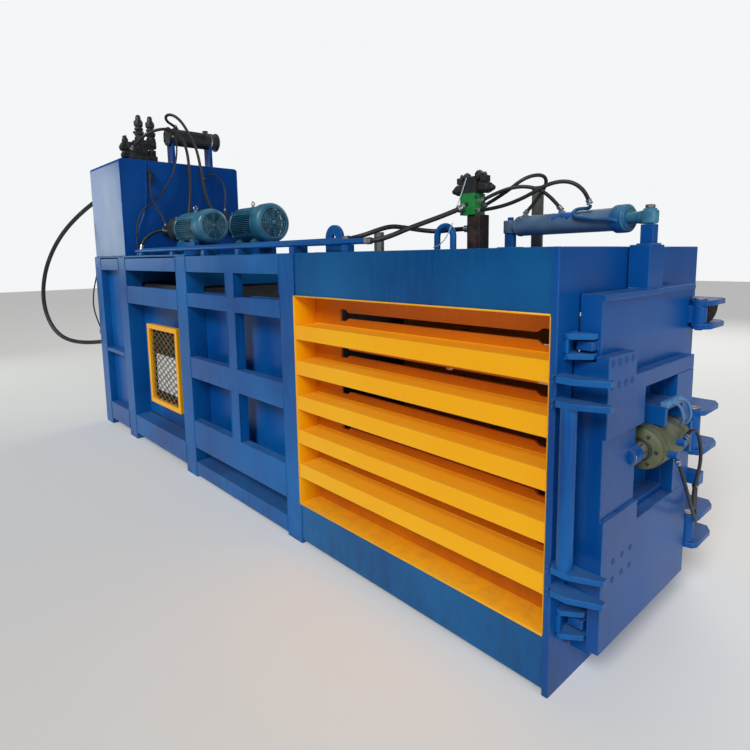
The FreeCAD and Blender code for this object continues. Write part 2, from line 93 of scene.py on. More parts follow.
# ---- materials
def linear(hexText):
    channels = [int(hexText[i:i + 2], 16) / 255 for i in (1, 3, 5)]
    return tuple(c / 12.92 if c <= 0.04045 else ((c + 0.055) / 1.055) ** 2.4 for c in channels) + (1,)


def addNode(tree, kind, inputs=None, **settings):
    # a socket as input value is linked, anything else is set
    made = tree.nodes.new("ShaderNode" + kind)
    for name, value in settings.items():
        setattr(made, name, value)
    for name, value in (inputs or {}).items():
        if isinstance(value, bpy.types.NodeSocket):
            tree.links.new(value, made.inputs[name])
        else:
            made.inputs[name].default_value = value
    return made


def startMaterial(name):
    made = bpy.data.materials.new(name)
    made.use_nodes = True
    made.node_tree.nodes.clear()
    return made, made.node_tree


def noise(tree, sizeMm, detail=3, stretch=(1, 1, 1), roughness=0.5):
    # noise with features of about sizeMm, drawn longer along an axis by stretch
    coords = addNode(tree, "TexCoord").outputs["Object"]
    scaled = addNode(tree, "Mapping", {"Vector": coords, "Scale": [1000 / sizeMm / s for s in stretch]})
    return addNode(tree, "TexNoise", {"Vector": scaled.outputs[0], "Scale": 1.0, "Detail": detail,
                                      "Roughness": roughness}).outputs["Fac"]


def ramp(tree, value, low, high, fromLow=0.0, toHigh=1.0):
    return addNode(tree, "MapRange", {"Value": value, "From Min": low, "From Max": high,
                                      "To Min": fromLow, "To Max": toHigh}).outputs[0]


def blend(tree, factor, a, b, mode="MIX"):
    made = addNode(tree, "Mix", data_type="RGBA", blend_type=mode)
    for index, value in ((0, factor), (6, a), (7, b)):
        if isinstance(value, bpy.types.NodeSocket):
            tree.links.new(value, made.inputs[index])
        else:
            made.inputs[index].default_value = value
    return made.outputs[2]


def multiply(tree, a, b):
    return addNode(tree, "Math", {0: a, 1: b}, operation="MULTIPLY").outputs[0]


def bump(tree, height, depthMm, normal=None):
    inputs = {"Height": height, "Strength": 1.0, "Distance": depthMm / 1000}
    if normal:
        inputs["Normal"] = normal
    return addNode(tree, "Bump", inputs).outputs[0]


def surface(tree, color, roughness, normal=None, sockets=None):
    inputs = {"Base Color": color, "Roughness": roughness, **(sockets or {})}
    if normal:
        inputs["Normal"] = normal
    shader = addNode(tree, "BsdfPrincipled", inputs)
    addNode(tree, "OutputMaterial", {"Surface": shader.outputs[0]})
    return shader


def enamel(name, paint, faded, edgeWearAndHighlightColor, gloss=0.32, waveMm=1.2, edgeWearAndHighlight=0.5, dust=0.5):
    # alkyd enamel rolled and brushed on hot-rolled plate: wet-looking gloss with faint vertical brush drag,
    # slow waves of the plate under it, pale edges partly rubbed wear and partly painted highlight, dust on
    # upward faces
    made, tree = startMaterial(name)
    edgeRound = addNode(tree, "Bevel", {"Radius": 0.004}, samples=4).outputs[0]
    geometry = addNode(tree, "NewGeometry")
    flat = geometry.outputs["Normal"]
    turn = addNode(tree, "VectorMath", {0: edgeRound, 1: flat}, operation="DOT_PRODUCT").outputs["Value"]
    edge = ramp(tree, turn, 0.998, 0.86)
    patches = noise(tree, 700, 4)
    drag = noise(tree, 14, 3, (1, 1, 14))              # brush drag, drawn 14 mm wide so that it shows
    peel = noise(tree, 5, 2)                           # orange peel, drawn at 5 mm so that it shows
    wave = noise(tree, 420, 1)                         # plates pulled by their welds
    grime = noise(tree, 60, 6, (1, 1, 3), 0.65)
    color = blend(tree, ramp(tree, patches, 0.35, 0.68), linear(paint), linear(faded))
    color = blend(tree, ramp(tree, drag, 0.42, 0.62, 0.0, 0.22), color, linear(faded))
    # pale colour at the edges: partly worn paint, partly painted edge highlight
    rub = multiply(tree, edge, ramp(tree, grime, 0.38, 0.62, 0.15, 0.9))
    color = blend(tree, multiply(tree, rub, edgeWearAndHighlight), color, linear(edgeWearAndHighlightColor))
    facing = addNode(tree, "SeparateXYZ", {0: flat}).outputs[2]
    settled = multiply(tree, ramp(tree, facing, 0.6, 0.98), ramp(tree, grime, 0.3, 0.7, 0.35, 1.0))
    color = blend(tree, multiply(tree, settled, dust * 0.4), color, linear("#7f8d99"))
    low = ramp(tree, addNode(tree, "SeparateXYZ", {0: geometry.outputs["Position"]}).outputs[2], 0.35, 0.0)
    splash = multiply(tree, low, ramp(tree, grime, 0.45, 0.7, 0.0, 0.5))
    color = blend(tree, splash, color, linear("#1d2b33"))
    shine = addNode(tree, "Math", {0: ramp(tree, patches, 0.3, 0.7, gloss - 0.06, gloss + 0.08),
                                   1: multiply(tree, settled, 0.3)}, operation="ADD").outputs[0]
    relief = bump(tree, wave, waveMm * 6, edgeRound)
    relief = bump(tree, drag, 0.35, relief)
    relief = bump(tree, peel, 0.12, relief)
    surface(tree, color, shine, relief, sockets={"IOR": 1.47, "Specular IOR Level": 0.26})
    return made


def paintedCast(name, paint, faded, roughness=0.42, grainMm=3.0, grainDepth=0.25):
    # sprayed paint over a sand casting or a rough housing: soft sheen over fine pits, dust in the hollows
    made, tree = startMaterial(name)
    grain = noise(tree, grainMm, 3)
    cloud = noise(tree, 90, 5)
    geometry = addNode(tree, "NewGeometry")
    color = blend(tree, ramp(tree, cloud, 0.35, 0.7), linear(paint), linear(faded))
    facing = addNode(tree, "SeparateXYZ", {0: geometry.outputs["Normal"]}).outputs[2]
    dust = multiply(tree, ramp(tree, facing, 0.4, 1.0), ramp(tree, cloud, 0.35, 0.65, 0.1, 0.4))
    color = blend(tree, dust, color, linear("#8a8d8c"))
    edgeRound = addNode(tree, "Bevel", {"Radius": 0.002}, samples=4).outputs[0]
    shine = ramp(tree, cloud, 0.3, 0.7, roughness - 0.08, roughness + 0.12)
    surface(tree, color, shine, bump(tree, grain, grainDepth, edgeRound), sockets={"IOR": 1.5})
    return made


def bareMetal(name, tone, stain, roughness, stretch=(1, 1, 1), grainMm=2.0, stained=0.5, depth=0.08):
    # bare or zinc-plated steel: grey metal gloss broken by tooling lines and dull stains
    made, tree = startMaterial(name)
    lines = noise(tree, grainMm, 2, stretch)
    cloud = noise(tree, 45, 5, roughness=0.62)
    mask = ramp(tree, cloud, 0.5, 0.72, 0.0, stained)
    color = blend(tree, mask, linear(tone), linear(stain))
    shine = ramp(tree, cloud, 0.35, 0.7, roughness, roughness + 0.22)
    metal = ramp(tree, mask, 0.0, 1.0, 1.0, 0.35)
    shader = surface(tree, color, shine, bump(tree, lines, depth))
    tree.links.new(metal, shader.inputs["Metallic"])
    return made


def rubberCover(name):
    # wrapped synthetic rubber hose cover: matt black with the faint cross marks of the curing tape
    made, tree = startMaterial(name)
    wrap = noise(tree, 6, 2)
    cloud = noise(tree, 80, 4)
    color = blend(tree, ramp(tree, cloud, 0.35, 0.7), linear("#141516"), linear("#2b2c2c"))
    surface(tree, color, ramp(tree, cloud, 0.3, 0.7, 0.42, 0.6), bump(tree, wrap, 0.35),
            sockets={"IOR": 1.52})
    return made


def sackCloth(name):
    # crumpled white polypropylene sack cloth: soft white with creases
    made, tree = startMaterial(name)
    crease = noise(tree, 40, 5)
    surface(tree, blend(tree, ramp(tree, crease, 0.35, 0.7), linear("#e9eaec"), linear("#c3c9cf")), 0.6,
            bump(tree, crease, 6.0), sockets={"IOR": 1.49})
    return made


mats = {
    "frameBlue": enamel("frameBlue", "#024489", "#0d66ac", "#4a8fc6", edgeWearAndHighlight=0.7),
    "beamBlue": enamel("beamBlue", "#02437c", "#0a5f98", "#4389b8", gloss=0.28),
    # the end face's strong pale edges are partly wear and partly painted edge highlight
    "endBlue": enamel("endBlue", "#013f84", "#07529c", "#5b9bd0", gloss=0.3, dust=0.5, edgeWearAndHighlight=0.8),
    "tankBlue": enamel("tankBlue", "#02418f", "#0751a4", "#4584c4", gloss=0.22, waveMm=2.0),
    "panelBlue": enamel("panelBlue", "#02438f", "#0b62aa", "#2f76b4", gloss=0.34),
    "ribYellow": enamel("ribYellow", "#f7a900", "#f9b60c", "#ffd060", gloss=0.3, dust=0.15, edgeWearAndHighlight=0.7),
    # the deeper orange of the recess back walls is partly the paint and partly painted shade of the recess
    "wallYellowAndRecessShade": enamel("wallYellowAndRecessShade", "#e0820a", "#c26a08", "#e8a030", gloss=0.42, dust=0.3),
    "motorTeal": paintedCast("motorTeal", "#27647f", "#43829c", 0.34, 4.0, 0.15),
    "castBlack": paintedCast("castBlack", "#1b1d20", "#303234", 0.45),
    "pumpIron": paintedCast("pumpIron", "#23282c", "#3b4144", 0.45, 5.0, 0.4),
    "blockGreen": paintedCast("blockGreen", "#157a35", "#2b9148", 0.34, 2.0, 0.1),
    "cylinderOlive": paintedCast("cylinderOlive", "#4a5238", "#61654c", 0.5, 5.0, 0.3),
    "cylinderGrey": paintedCast("cylinderGrey", "#4f6d90", "#6a86a4", 0.38, 5.0, 0.25),
    "glandPaint": paintedCast("glandPaint", "#0f5296", "#3a7a8e", 0.34, 5.0, 0.25),
    "rodPaint": paintedCast("rodPaint", "#17618c", "#4f8a90", 0.36, 4.0, 0.2),
    "patchBlue": paintedCast("patchBlue", "#1257b8", "#2a6cc4", 0.3, 3.0, 0.1),
    "rawSteel": bareMetal("rawSteel", "#8b8a86", "#5c5046", 0.38, (1, 1, 6)),
    "zincSteel": bareMetal("zincSteel", "#c3c4c2", "#8d8a80", 0.26, stained=0.3),
    "chromeRod": bareMetal("chromeRod", "#c9cccf", "#9aa0a4", 0.08, stained=0.2, depth=0.01),
    "wornPlate": bareMetal("wornPlate", "#77777a", "#5a4a3c", 0.42, (8, 1, 1), 3.0, 0.8),
    "knifeSteel": bareMetal("knifeSteel", "#8f9193", "#5d564e", 0.3, (8, 1, 1)),
    "postIron": bareMetal("postIron", "#4d4748", "#5a3a30", 0.5, (1, 1, 4), 4.0, 0.9),
    "hoseRubber": rubberCover("hoseRubber"),
    "sackWhite": sackCloth("sackWhite"),
    "palePipe": enamel("palePipe", "#2f68a6", "#5e8db8", "#9fc0e0", gloss=0.34),
    "plugBlue": enamel("plugBlue", "#123b74", "#1d4c8c", "#35639f", gloss=0.45),
    "patchPale": paintedCast("patchPale", "#a9cbe6", "#c9dfee", 0.5, 3.0, 0.1),
    "meshPaint": paintedCast("meshPaint", "#5d5036", "#85713f", 0.5, 2.0, 0.1),
    "shadowSteel": bareMetal("shadowSteel", "#3a3230", "#241d1a", 0.6, stained=0.9),
}
print("materials ready:", len(mats))

nodeFinish = {
    "frameBlue": "posts base_sills side_rails edge_pipes rear_plate rear_deck keeper corner_brackets"
                 " main_cylinder lifting_eye door_cyl_base",
    "beamBlue": "beams", "panelBlue": "side_panels",
    "endBlue": "end_portal door_leaf door_arm lock_frame lock_saddles hinge_ears hinge_knuckles",
    "tankBlue": "oil_tank", "ribYellow": "strap_ribs guard_frame", "meshPaint": "guard_mesh",
    "wallYellowAndRecessShade": "chamber_walls",
    "motorTeal": "motor_housings fan_cowls", "castBlack": "oil_cooler relief_valves directional_valve",
    "pumpIron": "pumps", "blockGreen": "valve_block", "cylinderOlive": "lock_cylinder",
    "cylinderGrey": "door_cyl_barrel door_cyl_rod",
    "rawSteel": "steel_stubs ram_face motor_rotor_1 motor_rotor_2",
    "zincSteel": "hose_fittings", "chromeRod": "main_rod lock_rod", "wornPlate": "channel_floor ram_body",
    "knifeSteel": "shear_knife", "postIron": "valve_post",
}
finishOf = {name: finish for finish, names in nodeFinish.items() for name in names.split()}
for name, finish in finishOf.items():
    for place in nodes[name].material_slots:
        place.material = mats[finish]


# ---- plates and bars with rolled edges, made from the frame's own solids
def solidsOf(name):
    # the faces of each closed solid of a node, found by following the faces until their edges all pair up
    mesh = nodes[name].data
    solids, faces, openEdges = [], [], set()
    for polygon in mesh.polygons:
        points = [tuple(round(c, 5) for c in mesh.vertices[v].co) for v in polygon.vertices]
        faces.append(points)
        for a, b in zip(points, points[1:] + points[:1]):
            openEdges ^= {(a, b) if a < b else (b, a)}
        if not openEdges:
            solids.append(faces)
            faces = []
    return solids + ([faces] if faces else [])


def solidMesh(faces):
    bm = bmesh.new()
    verts = {}
    for points in faces:
        for p in points:
            if p not in verts:
                verts[p] = bm.verts.new(p)
        corners = [verts[p] for p in points]
        if len(set(corners)) > 2 and not bm.faces.get(corners):
            bm.faces.new(corners)
    bmesh.ops.dissolve_limit(bm, angle_limit=math.radians(0.6), verts=bm.verts, edges=bm.edges)
    return bm


def linkMesh(name, bm, finish, body, smoothAngle=32):
    mesh = bpy.data.meshes.new(name)
    bm.to_mesh(mesh)
    bm.free()
    mesh.polygons.foreach_set("use_smooth", [True] * len(mesh.polygons))
    mesh.set_sharp_from_angle(angle=math.radians(smoothAngle))
    made = bpy.data.objects.new(name, mesh)
    bpy.context.scene.collection.objects.link(made)
    mesh.materials.append(mats[finish])
    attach(made, body)
    return made


def spans(solid):
    # lowest and highest place of a solid along x, y and z, in millimetres
    return [(min(v) * 1000, max(v) * 1000) for v in zip(*[p for face in solid for p in face])]


def bodyOf(name):
    return next(body for body, members in frame["record"]["behaviour"]["bodies"].items() if name in members)


def rollEdges(made, widthMm):
    roll = made.modifiers.new("rolledEdge", "BEVEL")
    roll.width, roll.segments = widthMm / 1000, 2
    roll.limit_method, roll.angle_limit = "ANGLE", math.radians(35)
    roll.harden_normals = True
    roll.use_clamp_overlap = True


def joined(solids):
    # one skin over solids that lie flush against each other, as plates welded and ground
    parts = []
    for i, faces in enumerate(solids):
        mesh = bpy.data.meshes.new("part")
        bm = solidMesh(faces)
        bm.to_mesh(mesh)
        bm.free()
        parts.append(bpy.data.objects.new("part%d" % i, mesh))
        bpy.context.scene.collection.objects.link(parts[-1])
    group = bpy.data.collections.new("parts")
    for part in parts[1:]:
        group.objects.link(part)
    union = parts[0].modifiers.new("union", "BOOLEAN")
    union.operation, union.solver = "UNION", "EXACT"
    union.operand_type, union.collection = "COLLECTION", group
    bpy.context.view_layer.update()
    result = parts[0].evaluated_get(bpy.context.evaluated_depsgraph_get())
    bm = bmesh.new()
    bm.from_mesh(result.to_mesh())
    for part in parts:
        bpy.data.objects.remove(part)
    bpy.data.collections.remove(group)
    bmesh.ops.remove_doubles(bm, verts=bm.verts, dist=1e-5)
    bmesh.ops.dissolve_limit(bm, angle_limit=math.radians(0.6), verts=bm.verts, edges=bm.edges)
    return bm


def rolled(node, name, widthMm=2.5, flush=False):
    solids = solidsOf(node)
    if flush:
        bm = joined(solids)
    else:
        bm = bmesh.new()
        for faces in solids:
            one = solidMesh(faces)
            mesh = bpy.data.meshes.new("one")
            one.to_mesh(mesh)
            one.free()
            bm.from_mesh(mesh)
            bpy.data.meshes.remove(mesh)
    made = linkMesh(name, bm, finishOf[node], bodyOf(node))
    rollEdges(made, widthMm)
    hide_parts(node)


rolledPieces = {
    "posts": ("framePosts", 4, False), "base_sills": ("baseSills", 3, False),
    "side_rails": ("sideRails", 3, False),
    "side_panels": ("sidePanels", 1.5, False), "beams": ("chamberBeams", 3, False),
    "end_portal": ("endPortal", 4, True), "chamber_walls": ("strappingWalls", 2, True),
    "strap_ribs": ("strappingRibs", 1.5, False), "rear_plate": ("rearPlate", 2, False),
    "rear_deck": ("rearDeck", 1.5, False), "door_leaf": ("doorLeaf", 3, True),
    "door_arm": ("doorArm", 3, False),
    "lock_frame": ("lockFrame", 3, True), "lock_saddles": ("lockSaddles", 2, True),
    "keeper": ("keeperBar", 3, False),
    "corner_brackets": ("cornerBrackets", 3, False), "hinge_ears": ("hingeEars", 3, True),
    "hinge_knuckles": ("hingeKnuckles", 2, False), "valve_post": ("valvePost", 3, False),
    "valve_block": ("valveBlock", 2, False), "guard_frame": ("guardFrame", 2, False),
    "ram_face": ("ramFace", 3, False), "ram_body": ("ramBody", 2, False),
    "shear_knife": ("shearKnife", 1, False),
}
for node, (name, widthMm, flush) in rolledPieces.items():
    rolled(node, name, widthMm, flush)
print("plates and bars:", len(rolledPieces))


# ---- hoses: diameter, fitting length and the CAD piece's route from port to port, in millimetres
hoseRoutes = {
    "main_hose": {"piece": "mainPressureHose", "d": 38, "fitting": 60, "lay": "hanging", "route": [
        (-2300, -500, 2120), (-2600, -600, 2010), (-2873, -770, 1760), (-3060, -880, 1440),
        (-3130, -910, 1090), (-2980, -850, 800), (-2690, -700, 715), (-2360, -545, 765)]},
    "hose_a": {"piece": "pumpHoseNear", "d": 24, "fitting": 30, "lay": "loose", "route": [
        (-1680, -440, 2450), (-1635, -420, 2494), (-1580, -368, 2554), (-1525, -268, 2610),
        (-1482, -165, 2612), (-1450, -92, 2535), (-1434, -66, 2425), (-1426, -62, 2290),
        (-1416, -64, 2150), (-1398, -85, 1995), (-1380, -112, 1900), (-1345, -153, 1815)]},
    "hose_b": {"piece": "pumpHoseFar", "d": 24, "fitting": 12, "lay": "loose", "route": [
        (-1740, -20, 2693), (-1735, -66, 2712), (-1718, -110, 2730), (-1684, -136, 2754),
        (-1634, -126, 2770), (-1590, -86, 2752), (-1556, -40, 2694), (-1520, -4, 2602),
        (-1482, 38, 2482), (-1452, 51, 2340), (-1430, 54, 2190), (-1408, 70, 2050), (-1388, 100, 1950),
        (-1362, 145, 1882), (-1345, 175, 1815)]},
    "hose_d": {"piece": "pilotHose", "d": 14, "fitting": 25, "lay": "hanging", "route": [
        (-1668, -84, 2593), (-1590, -96, 2573), (-1520, -118, 2482), (-1492, -140, 2389),
        (-1487, -160, 2313), (-1480, -185, 2237), (-1474, -240, 2150), (-1470, -307, 2063),
        (-1466, -390, 1990), (-1465, -466, 1932), (-1460, -515, 1830), (-1457, -532, 1740),
        (-1452, -526, 1650), (-1455, -528, 1560)]},
    "hose_e": {"piece": "drainHoseNear", "d": 14, "fitting": 15, "lay": "hanging", "route": [
        (-1530, -368, 2250), (-1470, -378, 2248), (-1460, -388, 2185), (-1458, -393, 2118),
        (-1452, -390, 2050), (-1434, -376, 1985), (-1408, -352, 1925), (-1376, -332, 1866),
        (-1350, -327, 1800)]},
    "hose_f": {"piece": "drainHoseFar", "d": 12, "fitting": 15, "lay": "hanging", "route": [
        (-1530, 108, 2230), (-1487, 128, 2262), (-1460, 190, 2272), (-1435, 240, 2215),
        (-1405, 252, 2130), (-1375, 236, 2045), (-1352, 214, 1990), (-1345, 208, 1945)]},
    "rear_cable": {"piece": "rearCable", "d": 12, "fitting": 20, "lay": "hanging", "route": [
        (-2374, -575, 1500), (-2380, -585, 1420), (-2390, -610, 1320), (-2396, -634, 1210),
        (-2396, -640, 1090), (-2388, -620, 980), (-2375, -592, 880)]},
    "mid_hose_1": {"piece": "topHoseLong", "d": 22, "fitting": 35, "lay": "loose", "route": [
        (1181, -505, 1608), (1245, -500, 1614), (1303, -470, 1628), (1333, -415, 1651),
        (1350, -350, 1667), (1372, -285, 1661), (1410, -215, 1648), (1464, -160, 1640),
        (1547, -140, 1646), (1653, -135, 1648)]},
    "mid_hose_2": {"piece": "topHoseShort", "d": 22, "fitting": 30, "lay": "loose", "route": [
        (1390, -552, 1596), (1448, -535, 1597), (1485, -485, 1615), (1513, -420, 1643),
        (1553, -340, 1674), (1596, -262, 1704), (1645, -180, 1742)]},
    "door_hose_a": {"piece": "doorHoseMiddle", "d": 16, "fitting": 22, "lay": "loose", "route": [
        (1700, -140, 1762), (1790, -125, 1800), (1885, -85, 1820), (1965, -25, 1790), (2009, 24, 1709)]},
    "door_hose_b": {"piece": "doorHoseHead", "d": 16, "fitting": 15, "lay": "loose", "route": [
        (1700, -155, 1722), (1785, -162, 1725), (1875, -165, 1738), (1960, -157, 1766),
        (2035, -141, 1806), (2112, -113, 1814), (2166, -85, 1774), (2177, -62, 1720)]},
    "door_hose_c": {"piece": "doorHoseBase", "d": 16, "fitting": 18, "lay": "loose", "route": [
        (1700, -118, 1742), (1795, -97, 1788), (1885, -60, 1860), (1925, 35, 1870), (1880, 105, 1812),
        (1795, 73, 1709)]},
    "lock_hose_1": {"piece": "lockHoseFront", "d": 13, "fitting": 12, "lay": "hanging", "route": [
        (2563, -40, 848), (2567, -8, 872), (2572, 35, 868), (2576, 72, 830), (2576, 98, 776),
        (2573, 112, 716), (2567, 104, 664), (2560, 100, 612), (2551, 125, 560), (2543, 165, 512),
        (2530, 208, 484), (2512, 248, 478), (2505, 280, 520), (2505, 282, 564)]},
    "lock_hose_2": {"piece": "lockHoseBack", "d": 13, "fitting": 15, "lay": "hanging", "route": [
        (2566, -114, 786), (2574, -98, 748), (2580, -72, 696), (2583, -38, 640), (2580, 8, 584),
        (2574, 62, 530), (2565, 120, 484), (2550, 176, 448), (2532, 230, 436), (2512, 278, 450),
        (2505, 303, 508), (2505, 304, 564)]},
}


def mm(*points):
    return [Vector(p) / 1000 for p in points]


def wholeMm(point):
    return tuple(round(c) for c in point)


def freeEnds(spec):
    # where the two fittings stop and the free hose starts
    route, found = spec["route"], []
    for tip, towards in ((route[0], route[1]), (route[-1], route[-2])):
        step = (Vector(towards) - Vector(tip)).normalized() * spec["fitting"]
        found.append(Vector(tip) + step)
    return found


def tubeLength(points):
    # straight runs joined by tangent arcs, each arc taking up 0.45 of the shorter of its two runs
    total = sum((b - a).length for a, b in zip(points, points[1:]))
    for a, b, c in zip(points, points[1:], points[2:]):
        reach = 0.45 * min((b - a).length, (c - b).length)
        turn = (b - a).angle(c - b)
        total += reach / math.tan(turn / 2) * turn - 2 * reach
    return total


def addHose(name, spec):
    start, end = freeEnds(spec)
    inner = spec["route"][1:-1]
    length = round(tubeLength([start, *[Vector(p) for p in inner], end]))
    points = mm(wholeMm(start), *inner, wholeMm(end))
    curve = bpy.data.curves.new(name, "CURVE")
    curve.dimensions = "3D"
    curve.bevel_depth = spec["d"] / 2000
    curve.bevel_resolution = 5
    curve.resolution_u = 10
    curve.use_fill_caps = True
    spline = curve.splines.new("NURBS")
    spline.points.add(len(points) - 1)
    for point, place in zip(spline.points, points):
        point.co = (*place, 1)
    spline.order_u = 3
    spline.use_endpoint_u = True
    made = bpy.data.objects.new(spec["piece"], curve)
    bpy.context.scene.collection.objects.link(made)
    curve.materials.append(mats["hoseRubber"])
    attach(made, bodyOf(name))
    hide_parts(name)


for name, spec in hoseRoutes.items():
    addHose(name, spec)
print("hoses laid:", len(hoseRoutes))


# ---- shapes that the fittings, bolts, welds and housings are made of; all take millimetres
def axisFrame(direction):
    along = Vector(direction).normalized()
    side = along.cross(up) if abs(along.z) < 0.9 else along.cross(Vector((1, 0, 0)))
    side.normalize()
    return along, side, along.cross(side)


def turned(bm, start, direction, profile, segments=28, turn=0.0):
    # a solid of revolution; profile lists (distance along, radius), and 6 segments make a hexagon
    along, side, other = axisFrame(direction)
    rings = []
    for distance, radius in profile:
        centre = Vector(start) + along * distance
        ring = []
        for i in range(segments):
            a = math.tau * i / segments + turn
            ring.append(bm.verts.new((centre + (side * math.cos(a) + other * math.sin(a)) * radius) / 1000))
        rings.append(ring)
    for lower, upper in zip(rings, rings[1:]):
        for i in range(segments):
            j = (i + 1) % segments
            bm.faces.new((lower[i], lower[j], upper[j], upper[i]))
    bm.faces.new(rings[0][::-1])
    bm.faces.new(rings[-1])


def rounded(length, radius, edge=1.5, start=0.0):
    # profile of a plain cylinder with rounded rims
    return [(start, radius - edge), (start + edge * 0.3, radius - edge * 0.3), (start + edge, radius),
            (start + length - edge, radius), (start + length - edge * 0.3, radius - edge * 0.3),
            (start + length, radius - edge)]


def block(bm, x, y, z, edge=1.5):
    lows, highs = Vector((x[0], y[0], z[0])), Vector((x[1], y[1], z[1]))
    made = bmesh.ops.create_cube(bm, size=1)["verts"]
    for v in made:
        v.co = ((lows + highs) / 2 + Vector([c * s for c, s in zip(v.co, highs - lows)])) / 1000
    edges = {e for v in made for e in v.link_edges}
    if edge:
        bmesh.ops.bevel(bm, geom=list(edges), offset=edge / 1000, segments=2, profile=0.6, affect="EDGES")


def circlePoints(radius, degrees):
    return [(math.cos(math.radians(a)) * radius, math.sin(math.radians(a)) * radius) for a in degrees]


def bolt(bm, place, direction, size=16, socket=False):
    # washer and head; size is across the flats
    if socket:
        turned(bm, place, direction, [(0, size * 0.5), (size * 0.5, size * 0.5), (size * 0.55, size * 0.44),
                                      (size * 0.55, size * 0.26), (size * 0.28, size * 0.24)], 16)
    else:
        turned(bm, place, direction, rounded(2.2, size * 0.72, 0.6), 20)
        turned(bm, place, direction, [(2.2, size * 0.55), (size * 0.55, size * 0.577),
                                      (size * 0.66, size * 0.48)], 6)


def ring(bm, centre, normal, radius, thick, segments=28):
    along, side, other = axisFrame(normal)
    loops = []
    for i in range(segments):
        a = math.tau * i / segments
        out = side * math.cos(a) + other * math.sin(a)
        mid = Vector(centre) + out * radius
        loops.append([bm.verts.new((mid + (out * math.cos(b) + along * math.sin(b)) * thick) / 1000)
                      for b in [math.tau * k / 10 for k in range(10)]])
    for a, b in zip(loops, loops[1:] + loops[:1]):
        for k in range(10):
            m = (k + 1) % 10
            bm.faces.new((a[k], a[m], b[m], b[k]))


def bead(bm, start, end, radius=4.0, pitch=9.0):
    # one weld run: overlapping ripples of uneven width
    a, b = Vector(start), Vector(end)
    side, other = axisFrame(b - a)[1:]
    steps = max(2, int((b - a).length / pitch * 2))
    last = None
    for i in range(steps + 1):
        swell = radius * ((1.12 if i % 2 else 0.86) + random.uniform(-0.08, 0.08))
        centre = a + (b - a) * (i / steps) + side * random.uniform(-0.5, 0.5)
        loop = [bm.verts.new((centre + (side * math.cos(t) + other * math.sin(t)) * swell) / 1000)
                for t in [math.tau * k / 6 for k in range(6)]]
        if last:
            for k in range(6):
                m = (k + 1) % 6
                bm.faces.new((last[k], last[m], loop[m], loop[k]))
        else:
            bm.faces.new(loop[::-1])
        last = loop
    bm.faces.new(last)


def pipe(name, finish, body, diameter, points, order=3):
    # a hard pipe bent along its points
    curve = bpy.data.curves.new(name, "CURVE")
    curve.dimensions = "3D"
    curve.bevel_depth, curve.bevel_resolution, curve.resolution_u = diameter / 2000, 4, 8
    curve.use_fill_caps = True
    spline = curve.splines.new("NURBS")
    spline.points.add(len(points) - 1)
    for point, place in zip(spline.points, mm(*points)):
        point.co = (*place, 1)
    spline.order_u = order
    spline.use_endpoint_u = True
    made = bpy.data.objects.new(name, curve)
    bpy.context.scene.collection.objects.link(made)
    curve.materials.append(mats[finish])
    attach(made, body)
    return made


def boxMm(node):
    return [v * 1000 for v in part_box(node)]


def finished(name, bm, finish, body, replaced=(), smoothAngle=32):
    bmesh.ops.recalc_face_normals(bm, faces=bm.faces)
    made = linkMesh(name, bm, finish, body, smoothAngle)
    if replaced:
        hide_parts(*replaced)
    return made


# ---- hose ends: a hexagon nut, a collar and a crimped ferrule
ferrule = {"frame": bmesh.new(), "door": bmesh.new()}
for name, spec in hoseRoutes.items():
    for tip, start in zip((spec["route"][0], spec["route"][-1]), freeEnds(spec)):
        d, bm = spec["d"], ferrule[bodyOf(name)]
        along = Vector(wholeMm(start)) - Vector(tip)
        length = along.length
        nut = min(length * 0.4, d * 0.9)
        turned(bm, tip, along, [(-1, d * 0.7), (nut * 0.12, d * 0.8), (nut * 0.9, d * 0.8), (nut, d * 0.7)],
               6)
        crimp = [(nut, d * 0.5), (nut + 1.5, d * 0.5)]
        ridges = 4
        for i in range(ridges):
            a = nut + 2 + (length + 4 - nut - 2) * i / ridges
            b = nut + 2 + (length + 4 - nut - 2) * (i + 1) / ridges
            crimp += [(a, d * 0.72), (a + (b - a) * 0.6, d * 0.73)]
            crimp += [(a + (b - a) * 0.75, d * 0.63), (b, d * 0.64)]
        turned(bm, tip, along, crimp, 24)
finished("hoseEnds", ferrule["frame"], "zincSteel", "frame", ("hose_fittings",))
finished("lockHoseEnds", ferrule["door"], "zincSteel", "door")
print("hose ends made")


# ---- keyhole ends of the strap slots, cut through both walls
keyhole = {"long": 62, "high": 58, "chamfer": 20}


